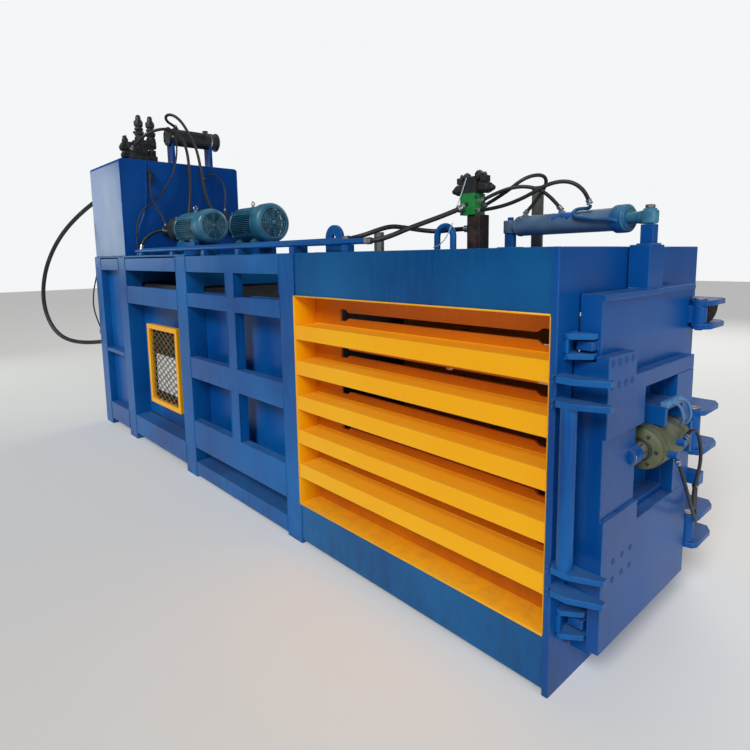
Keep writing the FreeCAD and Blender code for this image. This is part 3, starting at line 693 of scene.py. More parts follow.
def cutKeyholes():
    walls = bpy.data.objects["strappingWalls"]
    bm = bmesh.new()
    record = frame["record"]["physics"]["openings"]
    slots = [o["box_m"] for o in record if o["name"].startswith("strap_slot_near")]
    low, high = boxMm("chamber_walls")
    for lo, hi in slots:
        z = (lo[2] + hi[2]) * 500
        for tipX, sign in ((lo[0] * 1000 - 10, 1), (hi[0] * 1000 + 10, -1)):
            half, c = keyhole["high"] / 2, keyhole["chamfer"]
            outline = [(0, -half), (keyhole["long"] - c, -half), (keyhole["long"], -half + c * 0.75),
                       (keyhole["long"], half - c * 0.75), (keyhole["long"] - c, half), (0, half)]
            loops = [[bm.verts.new(((tipX + sign * u) / 1000, y / 1000, (z + w) / 1000)) for u,
                      w in outline]
                     for y in (low.y - 20, high.y + 20)]
            for i in range(6):
                j = (i + 1) % 6
                bm.faces.new((loops[0][i], loops[0][j], loops[1][j], loops[1][i]))
            bm.faces.new(loops[0][::-1])
            bm.faces.new(loops[1])
    bmesh.ops.recalc_face_normals(bm, faces=bm.faces)
    mesh = bpy.data.meshes.new("keyholes")
    bm.to_mesh(mesh)
    bm.free()
    tool = bpy.data.objects.new("keyholes", mesh)
    bpy.context.scene.collection.objects.link(tool)
    rollEdge = walls.modifiers["rolledEdge"]
    rollEdge.show_viewport = False
    cut = walls.modifiers.new("cut", "BOOLEAN")
    cut.operation, cut.solver, cut.object = "DIFFERENCE", "EXACT", tool
    bpy.context.view_layer.update()
    done = bpy.data.meshes.new_from_object(walls.evaluated_get(bpy.context.evaluated_depsgraph_get()))
    done.polygons.foreach_set("use_smooth", [True] * len(done.polygons))
    done.set_sharp_from_angle(angle=math.radians(32))
    walls.modifiers.remove(cut)
    walls.data = done
    rollEdge.show_viewport = True
    bpy.data.objects.remove(tool)


cutKeyholes()
print("strap slots cut")


# ---- yellow paint carried round the recess of each strapping wall
def recessLining():
    bm = bmesh.new()
    left, right = boxMm("strap_ribs")[0].x - 3, boxMm("strap_ribs")[1].x + 3
    low, high = boxMm("chamber_walls")[0].z, boxMm("chamber_walls")[1].z
    outer, innerNear = boxMm("posts")[0].y - 1, boxMm("chamber_walls")[0].y
    innerFar = boxMm("chamber_walls")[1].y
    for y in ((outer, innerNear), (innerFar, -outer)):
        block(bm, (left, left + 2), y, (low, high), 0.5)
        block(bm, (right - 2, right), y, (low, high), 0.5)
        block(bm, (left, right), y, (low, low + 2), 0.5)
        block(bm, (left, right), y, (high - 2, high), 0.5)
    # the paint runs a brush width onto the post beside it
    for y in (outer - 0.2, -outer - 0.8):
        block(bm, (left - 9, left), (y, y + 1), (low - 4, high + 4), 0.3)
        block(bm, (left - 9, right), (y, y + 1), (low - 6, low), 0.3)
        block(bm, (left - 9, right), (y, y + 1), (high, high + 5), 0.3)
    finished("recessLining", bm, "ribYellow", "frame")


recessLining()


# ---- motors: finned housings, end shields, fan cowls with a grille, lifting eyes
motors = [{"y": -251, "z": 1769, "stator": 104, "cowl": 127, "front": -1125},
          {"y": 266, "z": 1808, "stator": 128, "cowl": 156, "front": -1150}]
motorParts = {"back": -760, "cowlEnd": -640, "finPitch": 15, "finThick": 4, "footTop": 1670, "eye": 16,
              "wall": 2}


def motorHousing(bm, m):
    y, z, front, back = m["y"], m["z"], m["front"], motorParts["back"]
    core, tip = m["stator"], m["stator"] + 15
    turned(bm, (front + 26, y, z), (1, 0, 0), [(0, core - 3), (back - front - 40, core - 3)], 48)
    for k in range(-9, 10):
        offset = k * motorParts["finPitch"]
        if abs(offset) < tip * 0.76:
            reach = math.sqrt(tip ** 2 - offset ** 2)
            root = math.sqrt(max(0, (core - 3) ** 2 - offset ** 2)) - 4
            half = motorParts["finThick"] / 2
            x = (front + 32, back - 14)
            for s in (-1, 1):
                block(bm, x, sorted((y + s * root, y + s * reach)), (z + offset - half, z + offset + half),
                      0.8)
                if s > 0 or abs(offset) > 58:
                    block(bm, x, (y + offset - half, y + offset + half),
                          sorted((z + s * root, z + s * reach)), 0.8)
    # end shields, each with four lugs and bolts
    for x in (front, back - 16):
        turned(bm, (x, y, z), (1, 0, 0), [(0, core - 14), (3, core - 4), (8, core + 7), (24, core + 9),
                                          (30, core + 3)], 48)
        for dy, dz in circlePoints(core + 7, (45, 135, 225, 315)):
            turned(bm, (x, y + dy, z + dz), (1, 0, 0), rounded(26, 12, 2), 16)
            bolt(bm, (x, y + dy, z + dz), (-1, 0, 0), 11)
    turned(bm, (front - 6, y, z), (1, 0, 0), rounded(8, 58, 2), 32)
    turned(bm, (back - 8, y, z), (1, 0, 0), [(0, 20), (0, m["cowl"] - 5), (5, m["cowl"] - 5), (5, 20)], 48)
    # cast feet, and the boss under the lifting eye
    for x in (front + 50, back - 95):
        block(bm, (x, x + 52), (y - 100, y + 100), (motorParts["footTop"] - 15, motorParts["footTop"]), 3)
        for s in (-1, 1):
            block(bm, (x + 6, x + 46), sorted((y + s * 52, y + s * 78)), (motorParts["footTop"], z - 56), 5)
            bolt(bm, (x + 26, y + s * 89, motorParts["footTop"]), up, 16)
    block(bm, (front + 60, back - 60), (y - 52, y + 52), (motorParts["footTop"], z - core + 20), 4)
    turned(bm, ((front + back) / 2, y, z + tip - 14), up, rounded(20, 15, 3), 20)
    # terminal box on the far side
    boxX, boxY = (-1005, -885), y + tip
    block(bm, boxX, (boxY - 20, boxY + 50), (z - 40, z + 46), 5)
    block(bm, (boxX[0] - 4, boxX[1] + 4), (boxY + 50, boxY + 60), (z - 44, z + 50), 3)
    for dx in (boxX[0] + 6, boxX[1] - 6):
        for dz in (-36, 42):
            bolt(bm, (dx, boxY + 60, z + dz), (0, 1, 0), 7, True)


def fanCowl(bm, m):
    # pressed sheet cup with a soft shoulder; its end is rings of slots between spokes
    r, start = m["cowl"], Vector((motorParts["back"], m["y"], m["z"]))
    depth = motorParts["cowlEnd"] - motorParts["back"]
    cup = [(0, r - 4), (0, r), (8, r), (11, r - 1.5), (16, r - 1.5), (19, r), (depth - 34, r),
           (depth - 22, r - 3),
           (depth - 12, r - 9), (depth - 5, r - 17), (depth - 1, r - 27)]
    bands = [r * f for f in (0.76, 0.715, 0.66, 0.615, 0.56, 0.515, 0.46, 0.415, 0.36, 0.315, 0.26, 0.21,
                             0.14)]
    along, side, other = axisFrame((1, 0, 0))
    segments = 72
    rings = []
    for distance, radius in cup + [(depth, band) for band in bands]:
        centre = start + along * distance
        rings.append([bm.verts.new((centre + (side * math.cos(a) + other * math.sin(a)) * radius) / 1000)
                      for a in [math.tau * i / segments for i in range(segments)]])
    first = len(cup)
    for index, (a, b) in enumerate(zip(rings, rings[1:])):
        for i in range(segments):
            j = (i + 1) % segments
            isSlot = index >= first and (index - first) % 2 == 1 and i % 9 != 0
            if not isSlot:
                bm.faces.new((a[i], a[j], b[j], b[i]))
    bm.faces.new(rings[-1])


def makeMotors():
    housing, cowl, eyes = bmesh.new(), bmesh.new(), bmesh.new()
    for m in motors:
        motorHousing(housing, m)
        fanCowl(cowl, m)
        midX, top = (m["front"] + motorParts["back"]) / 2, m["z"] + m["stator"] + 17
        turned(eyes, (midX, m["y"], top), up, rounded(9, 10, 2), 16)
        ring(eyes, (midX, m["y"], top + 9 + motorParts["eye"]), (1, 0.35, 0), motorParts["eye"], 5.5)
    finished("motorHousings", housing, "motorTeal", "frame", ("motor_housings",))
    cowls = finished("fanCowls", cowl, "motorTeal", "frame", ("fan_cowls",), 40)
    sheet = cowls.modifiers.new("sheet", "SOLIDIFY")
    sheet.thickness, sheet.offset = motorParts["wall"] / 1000, 0
    finished("liftingEyes", eyes, "zincSteel", "frame")


makeMotors()
print("motors made")


# ---- pumps: bell housings, flanged gear pumps, ports and suction pipes
pumpX = {"end": -1400, "tank": -1530}


def makePumps():
    bm = bmesh.new()
    for m in motors:
        y, z, bell = m["y"], m["z"], m["front"] + 1260
        turned(bm, (-1260, y, z), (1, 0, 0), [(0, 96), (2, 105), (14, 105), (16, 92), (bell - 34, 86),
                                              (bell - 16, 104),
                                              (bell - 2, 105), (bell, 98)], 48)
        for dy, dz in circlePoints(97, range(0, 360, 45)):
            bolt(bm, (-1262, y + dy, z + dz), (-1, 0, 0), 12, True)
        turned(bm, (pumpX["end"], y, z), (1, 0, 0), [(0, 40), (3, 50), (14, 56), (40, 57), (43, 53),
                                                     (52, 53), (55, 57),
                                                     (92, 57), (95, 64), (112, 66), (125, 66), (128, 60)],
                                                     32)
        block(bm, (-1375, -1300), (y - 30, y + 30), (z + 45, z + 88), 3)
        port = (y + 50, y + 130) if y < 0 else (y - 130, y - 50)
        block(bm, (-1375, -1315), port, (1755, 1815), 4)
        block(bm, (-1375, -1325), (y - 92, y - 50), (1770, 1800), 3)
        for dx in (-1368, -1307):
            for s in (-1, 1):
                bolt(bm, (dx, y + s * 22, z + 88), up, 9, True)
        turned(bm, (pumpX["tank"], y, z), (1, 0, 0), rounded(16, 46, 2), 32)
        turned(bm, (pumpX["tank"] + 10, y, z), (1, 0, 0), [(0, 27), (30, 27), (34, 24), (90, 24), (94, 29),
                                                           (120, 30)], 28)
        for dy, dz in circlePoints(36, range(45, 360, 90)):
            bolt(bm, (pumpX["tank"] + 16, y + dy, z + dz), (1, 0, 0), 10)
    turned(bm, (-1345, 208, 1815), up, [(0, 16), (14, 16), (16, 12), (96, 12), (98, 15), (112, 15),
                                        (114, 12), (130, 12)], 18)
    finished("pumpSets", bm, "pumpIron", "frame", ("pumps",))
    # pressure line from the near pump down to the pipe along the edge
    pipe("pumpOutlet", "hoseRubber", "frame", 26,
         [(-1392, -300, 1769), (-1425, -350, 1768), (-1442, -410, 1745), (-1450, -462, 1702),
          (-1450, -495, 1655),
          (-1440, -505, 1606)])
    ends = bmesh.new()
    turned(ends, (-1386, -292, 1769), (-0.5, -0.85, 0), [(0, 19), (18, 19), (20, 16), (44, 16)], 24)
    turned(ends, (-1436, -505, 1602), (-0.3, 0.2, 1), [(0, 19), (18, 19), (20, 16), (46, 16)], 24)
    finished("outletFerrules", ends, "zincSteel", "frame")


makePumps()


# ---- tank top: manifold with two relief valves, cooler, filler, and the tank's own fittings
tankTop = boxMm("relief_valves")[0].z


def valveStack(bm, x, y, z, top):
    # cartridge body, hexagons, side screws and a ribbed adjusting knob with its lock nut
    turned(bm, (x, y, z), up, [(0, 34), (3, 38), (24, 38), (27, 31), (40, 31)], 24)
    turned(bm, (x, y, z + 40), up, [(0, 34), (2, 40), (28, 40), (30, 32)], 6)
    turned(bm, (x, y, z + 70), up, [(0, 26), (12, 26), (14, 35), (30, 35), (34, 27), (42, 27)], 20)
    turned(bm, (x, y, z + 112), up, [(0, 24), (4, 36), (30, 38), (46, 34), (56, 24), (top - z - 122, 20),
                                     (top - z - 112, 12)], 9)
    for dx, dy, dz, reach in ((1, 0.3, 54, 34), (-0.2, -1, 60, 30), (-1, 0.2, 50, 30), (0.6, -0.8, 88, 26),
                              (1, 0.5, 134, 20), (-0.5, -1, 146, 18)):
        turned(bm, (x + dx * 22, y + dy * 16, z + dz), (dx, dy, 0.15),
               [(0, 15), (reach * 0.6, 15), (reach * 0.65, 11),
                                                                       (reach, 11)], 6)


def makeManifold():
    high = boxMm("relief_valves")[1]
    bm = bmesh.new()
    block(bm, (-1800, -1680), (-460, -225), (tankTop, tankTop + 58), 3)
    block(bm, (-1792, -1686), (-452, -300), (tankTop + 58, tankTop + 122), 4)
    block(bm, (-1786, -1692), (-285, -232), (tankTop + 58, tankTop + 108), 4)
    block(bm, (-1790, -1690), (-398, -226), (tankTop + 122, 2540), 4)
    for y in (-440, -342, -244):
        for x in (-1790, -1690):
            bolt(bm, (x, y, tankTop + 58), up, 12, True)
    for y, z in ((-430, 2385), (-370, 2382), (-300, 2384), (-250, 2386), (-380, 2440), (-330, 2438),
                 (-262, 2444),
                 (-372, 2505), (-310, 2508), (-250, 2505)):
        turned(bm, (-1688, y, z), (1, 0, 0), [(0, 19), (8, 19), (10, 15), (18, 15)], 6)
    turned(bm, (-1700, -440, 2450), (1, 0, 0), [(0, 22), (12, 22), (14, 19), (20, 19)], 6)
    # pilot valves lying on the near side of the manifold, with coils and plugs
    for z, reach in ((2400, 56), (2462, 66), (2520, 40)):
        turned(bm, (-1745, -452, z), (0, -1, 0.1), [(0, 24), (4, 29), (reach - 10, 29), (reach - 6, 24),
                                                    (reach, 14)], 20)
        block(bm, (-1768, -1716), (-455 - reach * 0.7, -455 - reach * 0.2), (z + 20, z + 44), 3)
    block(bm, (-1782, -1700), (-470, -400), (tankTop + 110, tankTop + 160), 4)
    for y in (-350, -252):
        valveStack(bm, -1740, y, 2540, high.z - (0 if y > -300 else 2))
    finished("valveManifold", bm, "castBlack", "frame", ("relief_valves",))


def makeCooler():
    low, high = boxMm("oil_cooler")
    x, z = (low.x + high.x) / 2, (low.z + high.z) / 2
    bm = bmesh.new()
    total = high.y - low.y
    turned(bm, (x, low.y, z), (0, 1, 0), [(0, 60), (2, 80), (8, 82), (16, 82), (18, 72), (52, 72), (54, 76),
                                          (62, 76),
                                          (64, 72), (total - 64, 72), (total - 62, 76), (total - 54, 76),
                                          (total - 52, 72), (total - 18, 72), (total - 16, 82),
                                          (total - 8, 82),
                                          (total - 2, 80), (total, 60)], 48)
    for y, s in ((low.y, -1), (high.y, 1)):
        for dx, dz in circlePoints(62, range(30, 390, 60)):
            bolt(bm, (x + dx, y, z + dz), (0, s, 0), 11)
    turned(bm, (x, -20, z + 62), (0.05, -0.4, 1), [(0, 26), (16, 24), (20, 22), (27, 21)], 20)
    turned(bm, (x, 255, z + 66), up, [(0, 24), (16, 22), (20, 26), (26, 26)], 20)
    turned(bm, (x + 62, -84, z - 10), (1, 0, 0), [(0, 15), (8, 15), (11, 11)], 6)
    finished("oilCooler", bm, "castBlack", "frame", ("oil_cooler",))
    strap = bmesh.new()
    turned(strap, (x, 278, z), (0, 1, 0), [(0, 71), (0, 75), (13, 75), (13, 71)], 48)
    block(strap, (x + 66, x + 84), (276, 292), (z - 12, z + 12), 2)
    finished("coolerStrap", strap, "zincSteel", "frame")


def makeTankFittings():
    rear, front, near, far, floor = -2300, -1530, -605, 445, 1560
    bm = bmesh.new()
    for x in range(-1945, -1620, 62):
        for y in (-518, 368):
            bolt(bm, (x, y, tankTop), up, 13)
    for y in range(-456, 340, 106):
        for x in (-1948, -1632):
            bolt(bm, (x, y, tankTop), up, 13)
    finished("lidBolts", bm, "zincSteel", "frame")
    breather = bmesh.new()
    turned(breather, (-2120, -200, 2345), up, [(0, 52), (6, 52), (8, 40), (14, 40), (16, 46), (70, 46),
                                               (76, 40),
                                               (78, 12)], 32)
    turned(breather, (-2120, 120, 2345), up, [(0, 60), (8, 60), (10, 30), (40, 30), (44, 36), (60, 36),
                                              (64, 30)], 32)
    finished("tankCaps", breather, "castBlack", "frame")
    # level gauge on the rear
    gauge = bmesh.new()
    block(gauge, (-2306, -2298), (-60, -24), (1700, 2100), 2)
    for z in (1715, 2085):
        turned(gauge, (-2306, -42, z), (-1, 0, 0), rounded(10, 12, 2), 20)
    finished("levelGauge", gauge, "zincSteel", "frame")
    seams = bmesh.new()
    for x in (rear, front):
        bead(seams, (x, near, floor), (x, far, floor), 4)
    for y in (near, far):
        bead(seams, (rear, y, floor), (front, y, floor), 4)
    for x in (front, rear):
        for y in (near + 4, far - 4):
            bead(seams, (x, y, floor + 2), (x, y, 2288), 2.6)
    finished("tankSeams", seams, "tankBlue", "frame")
    sleeve = bmesh.new()
    block(sleeve, (-1529, -1505), (-384, -352), (2170, 2262), 4)
    bolt(sleeve, (-1506, -368, 2185), (1, 0, 0), 12)
    finished("drainSleeve", sleeve, "castBlack", "frame")
    pipe("tankDrip", "tankBlue", "frame", 9,
         [(-1526, -392, 2335), (-1524, -394, 2230), (-1523, -404, 2080), (-1523, -412, 1990),
          (-1520, -440, 1890),
          (-1514, -486, 1790), (-1508, -520, 1700), (-1500, -524, 1625)])


makeManifold()
makeCooler()
makeTankFittings()
print("tank top made")


# ---- valve on the post over the chamber: green subplate, spool valve, coils with plugs
def makePostValve():
    low, high = boxMm("valve_block")
    bm = bmesh.new()
    for dy, dz in ((-30, 28), (-30, -28), (30, 28), (30, -28)):
        bolt(bm, (high.x, (low.y + high.y) / 2 + dy, (low.z + high.z) / 2 + dz), (1, 0, 0), 9, True)
    turned(bm, ((low.x + high.x) / 2, low.y, (low.z + high.z) / 2), (0, -1, 0), rounded(3, 9, 1), 16)
    finished("subplateBolts", bm, "castBlack", "frame")
    valve = bmesh.new()
    block(valve, (1628, 1702), (-174, -110), (1800, 1850), 3)
    for s, x in ((-1, 1628), (1, 1702)):
        turned(valve, (x, -142, 1826), (s, 0, -0.12), [(0, 20), (4, 25), (48, 25), (52, 21), (58, 21),
                                                       (60, 14),
                                                     (70, 14), (72, 11), (78, 10)], 24)
        block(valve, sorted((x + s * 12, x + s * 44)), (-160, -124), (1846, 1874), 3)
        turned(valve, (x + s * 28, -142, 1872), up, [(0, 9), (10, 9), (12, 6), (17, 6)], 12)
    block(valve, (1642, 1690), (-168, -116), (1850, 1874), 3)
    turned(valve, (1650, -142, 1862), (-0.75, 0, 0.5), [(0, 15), (16, 15), (18, 19), (32, 19), (34, 12),
                                                        (38, 12)], 12)
    turned(valve, (1682, -142, 1862), (0.5, 0, 0.5), [(0, 16), (14, 16), (16, 21), (34, 21), (36, 14),
                                                      (42, 14)], 12)
    for x in (1634, 1696):
        for y in (-168, -116):
            bolt(valve, (x, y, 1850), up, 8, True)
    finished("spoolValve", valve, "castBlack", "frame", ("directional_valve",))
    # pale cord ties left on the valve and the lifting eye are drawn as stiff wire
    pipe("wireTie", "patchPale", "frame", 4.5,
         [(1655, -178, 1868), (1640, -184, 1820), (1628, -190, 1780), (1604, -190, 1735),
          (1596, -184, 1716)])
    pipe("eyeTie", "patchPale", "frame", 4.5,
         [(1612, -222, 1672), (1598, -224, 1640), (1575, -224, 1605), (1545, -222, 1582),
          (1510, -218, 1566),
          (1490, -216, 1566)])


makePostValve()


# ---- door cylinder: gland, clevis weld, ports, pin and nut
doorCylinder = {"base": (1705, 95, 1656), "eye": (2410, -65, 1656), "bore": 45, "head": 54, "rod": 22.5}


def makeDoorCylinder():
    base, eye = Vector(doorCylinder["base"]), Vector(doorCylinder["eye"])
    r, head, rod = doorCylinder["bore"], doorCylinder["head"], doorCylinder["rod"]
    along = (eye - base).normalized()
    barrel = bmesh.new()
    turned(barrel, base + along * 52, along, [(0, 30), (8, r - 7), (12, r), (14, r + 2), (20, r + 2),
                                              (22, r),
                                              (524, r), (528, r + 3), (536, r + 3)], 48)
    turned(barrel, base - up * 30, up, rounded(60, 33, 3), 32)
    turned(barrel, base, along, [(0, 26), (52, 27)], 24)
    for s in (95, 312):
        turned(barrel, base + along * s + up * 38, up, [(0, 17), (10, 16), (12, 12), (14, 12)], 20)
    finished("doorCylinderBarrel", barrel, "cylinderGrey", "door_cylinder",
             ("door_cyl_barrel",))
    gland = bmesh.new()
    turned(gland, base + along * 586, along, [(0, head - 4), (4, head), (38, head), (42, head - 2),
                                              (44, head - 2),
                                              (48, head - 1), (52, head - 5), (54, 34)], 48)
    ring(gland, base + along * 640, along, 40, 3, 40)
    finished("glandHead", gland, "glandPaint", "door_cylinder")
    # blue paint dabbed over a scratch on the upper side
    patch = bmesh.new()
    side = Vector((along.y, -along.x, 0))
    rows = []
    for i in range(15):
        s = 262 + 9.6 * i
        rag = random.uniform(-0.16, 0.16)
        centre = base + along * s
        rows.append([patch.verts.new((centre + (up * math.cos(a) + side * math.sin(a)) * (r + 0.5)) / 1000)
                     for a in [0.05 + rag + (1.1 + rag) * k / 8 for k in range(9)]])
    for a, b in zip(rows, rows[1:]):
        for k in range(8):
            patch.faces.new((a[k], a[k + 1], b[k + 1], b[k]))
    dab = finished("touchedUpPaint", patch, "patchBlue", "door_cylinder")
    film = dab.modifiers.new("film", "SOLIDIFY")
    film.thickness, film.offset = 0.0006, -1
    # the hard pipe along the barrel, overpainted with it
    pipe("barrelPipe", "glandPaint", "door_cylinder", 15,
         [(2177, -58, 1712), (2170, -50, 1704), (2140, -38, 1706), (2106, -38, 1704), (2096, -48, 1690),
          (2116, -58, 1674), (2170, -66, 1663), (2230, -79, 1658), (2282, -92, 1652), (2300, -88, 1645)])
    rodPiece = bmesh.new()
    turned(rodPiece, base + along * 625, along, [(0, rod), (58, rod), (60, 24), (76, 25), (88, 23)], 32)
    turned(rodPiece, eye - up * 25, up, [(0, 25), (3, 29), (8, 30), (42, 30), (47, 29), (50, 25)], 40)
    turned(rodPiece, eye + up * 25, up, [(0, 23), (4, 23), (6, 20)], 32)
    turned(rodPiece, base + along * 88, along, [(0, 35), (20, 35), (22, rod), (545, rod)], 24)
    finished("doorCylinderRod", rodPiece, "rodPaint", "door_rod", ("door_cyl_rod",))
    nut = bmesh.new()
    turned(nut, eye + up * 31, up, [(0, 14), (2, 17), (11, 17), (13, 14)], 6)
    turned(nut, eye + up * 43, up, rounded(1.5, 9, 0.5), 16)
    finished("pinNut", nut, "rawSteel", "door_rod")


makeDoorCylinder()


# ---- lock cylinder on the door
def makeLockCylinder():
    low, high = boxMm("lock_cylinder")
    x, z = (low.x + high.x) / 2, (low.z + high.z) / 2
    bm = bmesh.new()
    total = high.y - low.y
    turned(bm, (x, low.y, z), (0, 1, 0), [(0, 44), (2, 70), (6, 76), (18, 76), (20, 72), (24, 72), (26, 80),
                                          (58, 80),
                                          (61, 78), (65, 78), (68, 80), (total - 34, 80), (total - 31, 77),
                                          (total - 26, 77), (total - 23, 80), (total - 3, 80), (total, 76)],
                                          56)
    finished("lockCylinder", bm, "cylinderOlive", "door", ("lock_cylinder",))
    gland = bmesh.new()
    turned(gland, (x, low.y - 7, z), (0, 1, 0), [(0, 36), (2, 42), (8, 44)], 40)
    for dx, dz in circlePoints(58, range(0, 360, 60)):
        bolt(gland, (x + dx, low.y + 2, z + dz), (0, -1, 0), 12, True)
    finished("lockGland", gland, "castBlack", "door")
    boss = bmesh.new()
    turned(boss, (x, -301, z), (0, 1, 0), [(0, 26), (3, 34), (8, 37), (60, 37), (66, 33), (76, 31),
                                           (80, 24)], 40)
    finished("rodBoss", boss, "endBlue", "lock")
    # hard pipes from the bracket down behind the cylinder
    pipe("bracketPipeLeft", "palePipe", "door", 11,
         [(2505, -98, 978), (2530, -90, 992), (2549, -66, 975), (2552, -42, 935), (2548, -20, 905),
          (2530, 0, 884)])
    pipe("bracketPipeRight", "palePipe", "door", 11,
         [(2505, -50, 978), (2532, -40, 996), (2552, -8, 985), (2556, 22, 945), (2552, 40, 905),
          (2532, 52, 880)])
    bracket = bmesh.new()
    block(bracket, (2500, 2528), (-122, 30), (972, 990), 3)
    for y in (-98, -50, -4):
        turned(bracket, (2512, y, 984), (1, 0, 0.3), rounded(20, 10, 2), 16)
    finished("pipeBracket", bracket, "palePipe", "door")


makeLockCylinder()
print("cylinders made")


# ---- pins and plug welds of the door, lock and hinge
def makeDoorDetails():
    high = boxMm("lock_frame")[1]
    plugs = bmesh.new()
    for z, row in ((1178, (-476, -428, -380, -330)), (1102, (-476, -428, -380, -330)),
                   (486, (-418, -348, -283)), (420, (-418, -348, -283))):
        for y in row:
            turned(plugs, (high.x - 1, y, z), (1, 0, 0), [(0, 12), (1.6, 12), (3, 9), (2.4, 4)], 16)
    finished("plugWelds", plugs, "plugBlue", "lock")
    pins = bmesh.new()
    for top in (1331, 875, 416):
        turned(pins, (2475, 310, top + 1), up, [(0, 24), (3, 25), (6, 24), (7, 15), (8, 14)], 32)
    finished("hingePins", pins, "rawSteel", "frame")
    # rounded gusset that hangs under the top ear's outer edge, coloured dark as painted shade
    gusset = bmesh.new()
    ear = {"x": 2496, "root": 350, "reach": 118, "top": 1308, "drop": 72}
    outline = [(ear["root"], ear["top"])]
    outline += [(ear["root"] + ear["reach"] * math.cos(a), ear["top"] - ear["drop"] * math.sin(a))
                for a in [math.pi * i / 16 for i in range(9)]]
    loops = [[gusset.verts.new((x / 1000, py / 1000, pz / 1000)) for py, pz in outline]
             for x in (ear["x"] - 12, ear["x"])]
    gusset.faces.new(loops[0])
    gusset.faces.new(loops[1][::-1])
    for i in range(len(outline)):
        j = (i + 1) % len(outline)
        gusset.faces.new((loops[0][i], loops[1][i], loops[1][j], loops[0][j]))
    bmesh.ops.recalc_face_normals(gusset, faces=gusset.faces)
    finished("earGusset", gusset, "shadowSteel", "frame")
    # a dark strip on the portal face beside the keeper is painted shadow of the recess; a short dark strip
    # marks the face above the door
    face = machine["front"] + 0.1
    recessShadowStrip = bmesh.new()
    block(recessShadowStrip, (face, face + 1.7), (-574, -507), (512, 1038), 0.4)
    block(recessShadowStrip, (face, face + 1.7), (52, 112), (1424, 1431), 0.4)
    finished("portalShadowStrip", recessShadowStrip, "shadowSteel", "frame")
    seal = bmesh.new()
    block(seal, (face, face + 5.1), (290, 312), (150, 1385), 1.5)
    block(seal, (face, face + 5.1), (-455, 290), (1370, 1385), 1.5)
    finished("doorSeal", seal, "hoseRubber", "frame")


makeDoorDetails()


# ---- weld runs
def frameWelds():
    bm = bmesh.new()
    half, top = machine["half"], machine["top"]
    deckEnd, roofStart, roofPost = -390, 760, 895
    for solid in solidsOf("side_rails") + solidsOf("base_sills"):
        x, y, z = spans(solid)
        if y[0] < 5 - half or y[1] > half - 5:
            faceY = -half - 0.5 if y[0] < 5 - half else half + 0.5
            for end in x:
                bead(bm, (end, faceY, z[0] + 2), (end, faceY, z[1] - 2), 3.2)
            innerY = y[1] if y[0] < 5 - half else y[0]
            for end, s in ((x[0], 1), (x[1], -1)):
                bead(bm, (end + s * 3, (faceY + innerY) / 2, z[1]), (end + s * 3, innerY, z[1]), 3.2)
    deckZ = boxMm("rear_deck")[0].z
    for y in (-half - 0.5, half + 0.5):
        bead(bm, (machine["rear"], y, deckZ), (deckEnd, y, deckZ), 2.6)
        for x in (roofStart, roofPost):
            bead(bm, (x, y, 1336), (x, y, top - 2), 3)
    for x in (deckEnd, roofStart, roofPost):
        bead(bm, (x, -470, top + 0.5), (x, 330, top + 0.5), 3)
    for x in range(-2200, deckEnd, 300):
        for y in (-half, half):
            bead(bm, (x, y, deckZ + 10), (x + 60, y, deckZ + 10), 2.4)
    finished("frameWelds", bm, "frameBlue", "frame")


def ribWelds():
    bm = bmesh.new()
    for solid in solidsOf("strap_ribs"):
        x, y, z = spans(solid)
        if y[1] - y[0] > 20:
            wallY = y[1] if y[0] < 0 else y[0]
            s = -1 if y[0] < 0 else 1
            bead(bm, (x[0], wallY + s * 2, z[1]), (x[1], wallY + s * 2, z[1]), 3.2)
        else:
            for end in x:
                bead(bm, (end, (y[0] + y[1]) / 2, z[0]), (end, (y[0] + y[1]) / 2, z[1]), 4)
    finished("ribWelds", bm, "ribYellow", "frame")


def endWelds():
    bm = bmesh.new()
    faceX = boxMm("end_portal")[1].x
    for solid in solidsOf("keeper") + solidsOf("corner_brackets") + solidsOf("hinge_ears"):
        x, y, z = spans(solid)
        if abs(x[0] - faceX) < 2 and z[1] - z[0] < 120:
            for edge in z:
                bead(bm, (faceX + 2, y[0], edge), (faceX + 2, y[1], edge), 3.6)
    bead(bm, (2374, -125, 1396), (2374, 5, 1396), 4)
    finished("endWelds", bm, "endBlue", "frame")
    arm = bmesh.new()
    for a, b in (((2442, -127, 1397), (2442, 7, 1397)), ((2440, -127, 1397), (2368, -127, 1397)),
                 ((2440, 7, 1397), (2368, 7, 1397)), ((2440, -97, 1557), (2440, -33, 1557)),
                 ((2380, -97, 1557), (2440, -97, 1557))):
        bead(arm, a, b, 4)
    finished("armWelds", arm, "endBlue", "door")


frameWelds()
ribWelds()
endWelds()
print("welds laid")


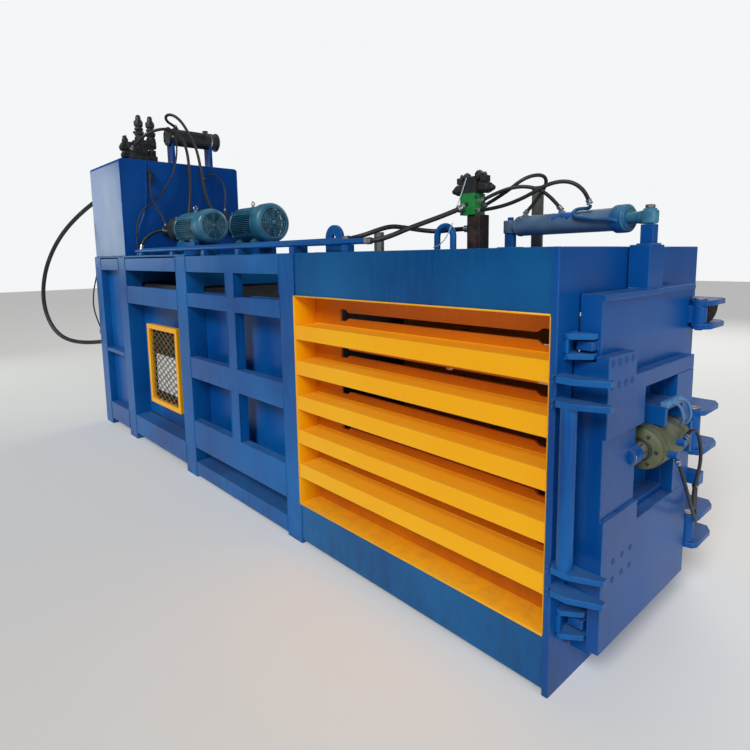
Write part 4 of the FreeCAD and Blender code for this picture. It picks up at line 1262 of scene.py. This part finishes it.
# ---- inspection opening behind the yellow guard
def makeInspection():
    low, high = boxMm("guard_mesh")
    bm = bmesh.new()
    # a dark sheet right behind the mesh: painted shadow of the opening
    block(bm, (low.x + 3, high.x - 3), (-568, -566), (low.z + 3, high.z - 3), 0)
    finished("openingPaintedShadow", bm, "shadowSteel", "frame")
    cover = bmesh.new()
    block(cover, (-1085, -715), (-573, -569), (512, 800), 1)
    finished("inspectionCover", cover, "sackWhite", "frame")
    # steel liners on both inside faces of the feed channel, coloured dark as worn steel and as painted
    # shade inside the channel
    liners = bmesh.new()
    for y in ((-460, -457), (317, 320)):
        for x in ((-415, 165), (171, 755)):
            block(liners, x, y, (236, 1290), 0.6)
            for px in (x[0] + 40, x[1] - 40):
                for pz in (300, 760, 1230):
                    turned(liners, (px, y[0] + 1.5, pz), (0, 1, 0), [(-2.2, 9), (2.2, 9)], 16)
    finished("channelLiners", liners, "shadowSteel", "frame")
    # doubling ring and its bolts where the main cylinder's flange sits behind the rear plate
    rear = bmesh.new()
    turned(rear, (machine["rear"], machine["ramY"], machine["ramZ"]), (-1, 0, 0),
           [(0, 190), (7, 190), (9, 187), (9, 96), (0, 94)], 64)
    bolts = bmesh.new()
    for dy, dz in circlePoints(145, range(15, 375, 30)):
        bolt(bolts, (machine["rear"] - 9, machine["ramY"] + dy, machine["ramZ"] + dz), (-1, 0, 0), 24)
    finished("rearRing", rear, "frameBlue", "frame")
    finished("rearBolts", bolts, "zincSteel", "frame")


makeInspection()


# ---- stage and light
stage = {"ambient": 0.13, "sun": 2.15, "sunFrom": (2.2, -5.5, 4.8), "sunAngle": 24}


def makeStage():
    bpy.context.scene.view_settings.view_transform = "Standard"
    bpy.ops.mesh.primitive_plane_add(size=60, location=(0, 0, cadBox[0].z))
    floor = bpy.context.object
    floor.name = "floor"
    made, tree = startMaterial("paleFloor")
    surface(tree, linear("#f6f6f4"), 0.8)
    floor.data.materials.append(made)
    world = bpy.data.worlds.new("studio")
    bpy.context.scene.world = world
    world.use_nodes = True
    tree = world.node_tree
    background = tree.nodes["Background"]
    background.inputs[0].default_value = linear("#f4f6f8")
    # the backdrop reads white, while the machine gets only a little light from it
    seen = addNode(tree, "LightPath").outputs["Is Camera Ray"]
    strength = addNode(tree, "MapRange", {0: seen, 3: stage["ambient"], 4: 1.0}).outputs[0]
    tree.links.new(strength, background.inputs[1])


def addLamp(name, place, target, size, watts, tint="#ffffff"):
    data = bpy.data.lights.new(name, "AREA")
    data.shape, data.size, data.size_y = "RECTANGLE", size[0], size[1]
    data.energy, data.color = watts, linear(tint)[:3]
    made = bpy.data.objects.new(name, data)
    made.location = place
    made.rotation_mode = "QUATERNION"
    made.rotation_quaternion = (Vector(target) - Vector(place)).to_track_quat("-Z", "Y")
    bpy.context.scene.collection.objects.link(made)


def addSun():
    data = bpy.data.lights.new("softSun", "SUN")
    data.energy, data.angle = stage["sun"], math.radians(stage["sunAngle"])
    made = bpy.data.objects.new("softSun", data)
    made.rotation_mode = "QUATERNION"
    made.rotation_quaternion = (-Vector(stage["sunFrom"])).to_track_quat("-Z", "Y")
    bpy.context.scene.collection.objects.link(made)


makeStage()
addSun()
addLamp("endLamp", (7.5, -1.5, 2.6), (2.4, 0, 0.8), (3, 3), 80)
addLamp("backLamp", (-2.0, 9.0, 6.0), (-0.3, 0, 1.0), (9, 5), 300)
# this lamp is reflected in the tank's near face
addLamp("tankGlint", (-7.0, -2.25, 2.3), (-1.9, -0.605, 1.9), (1.9, 1.7), 26, "#e9f7ec")
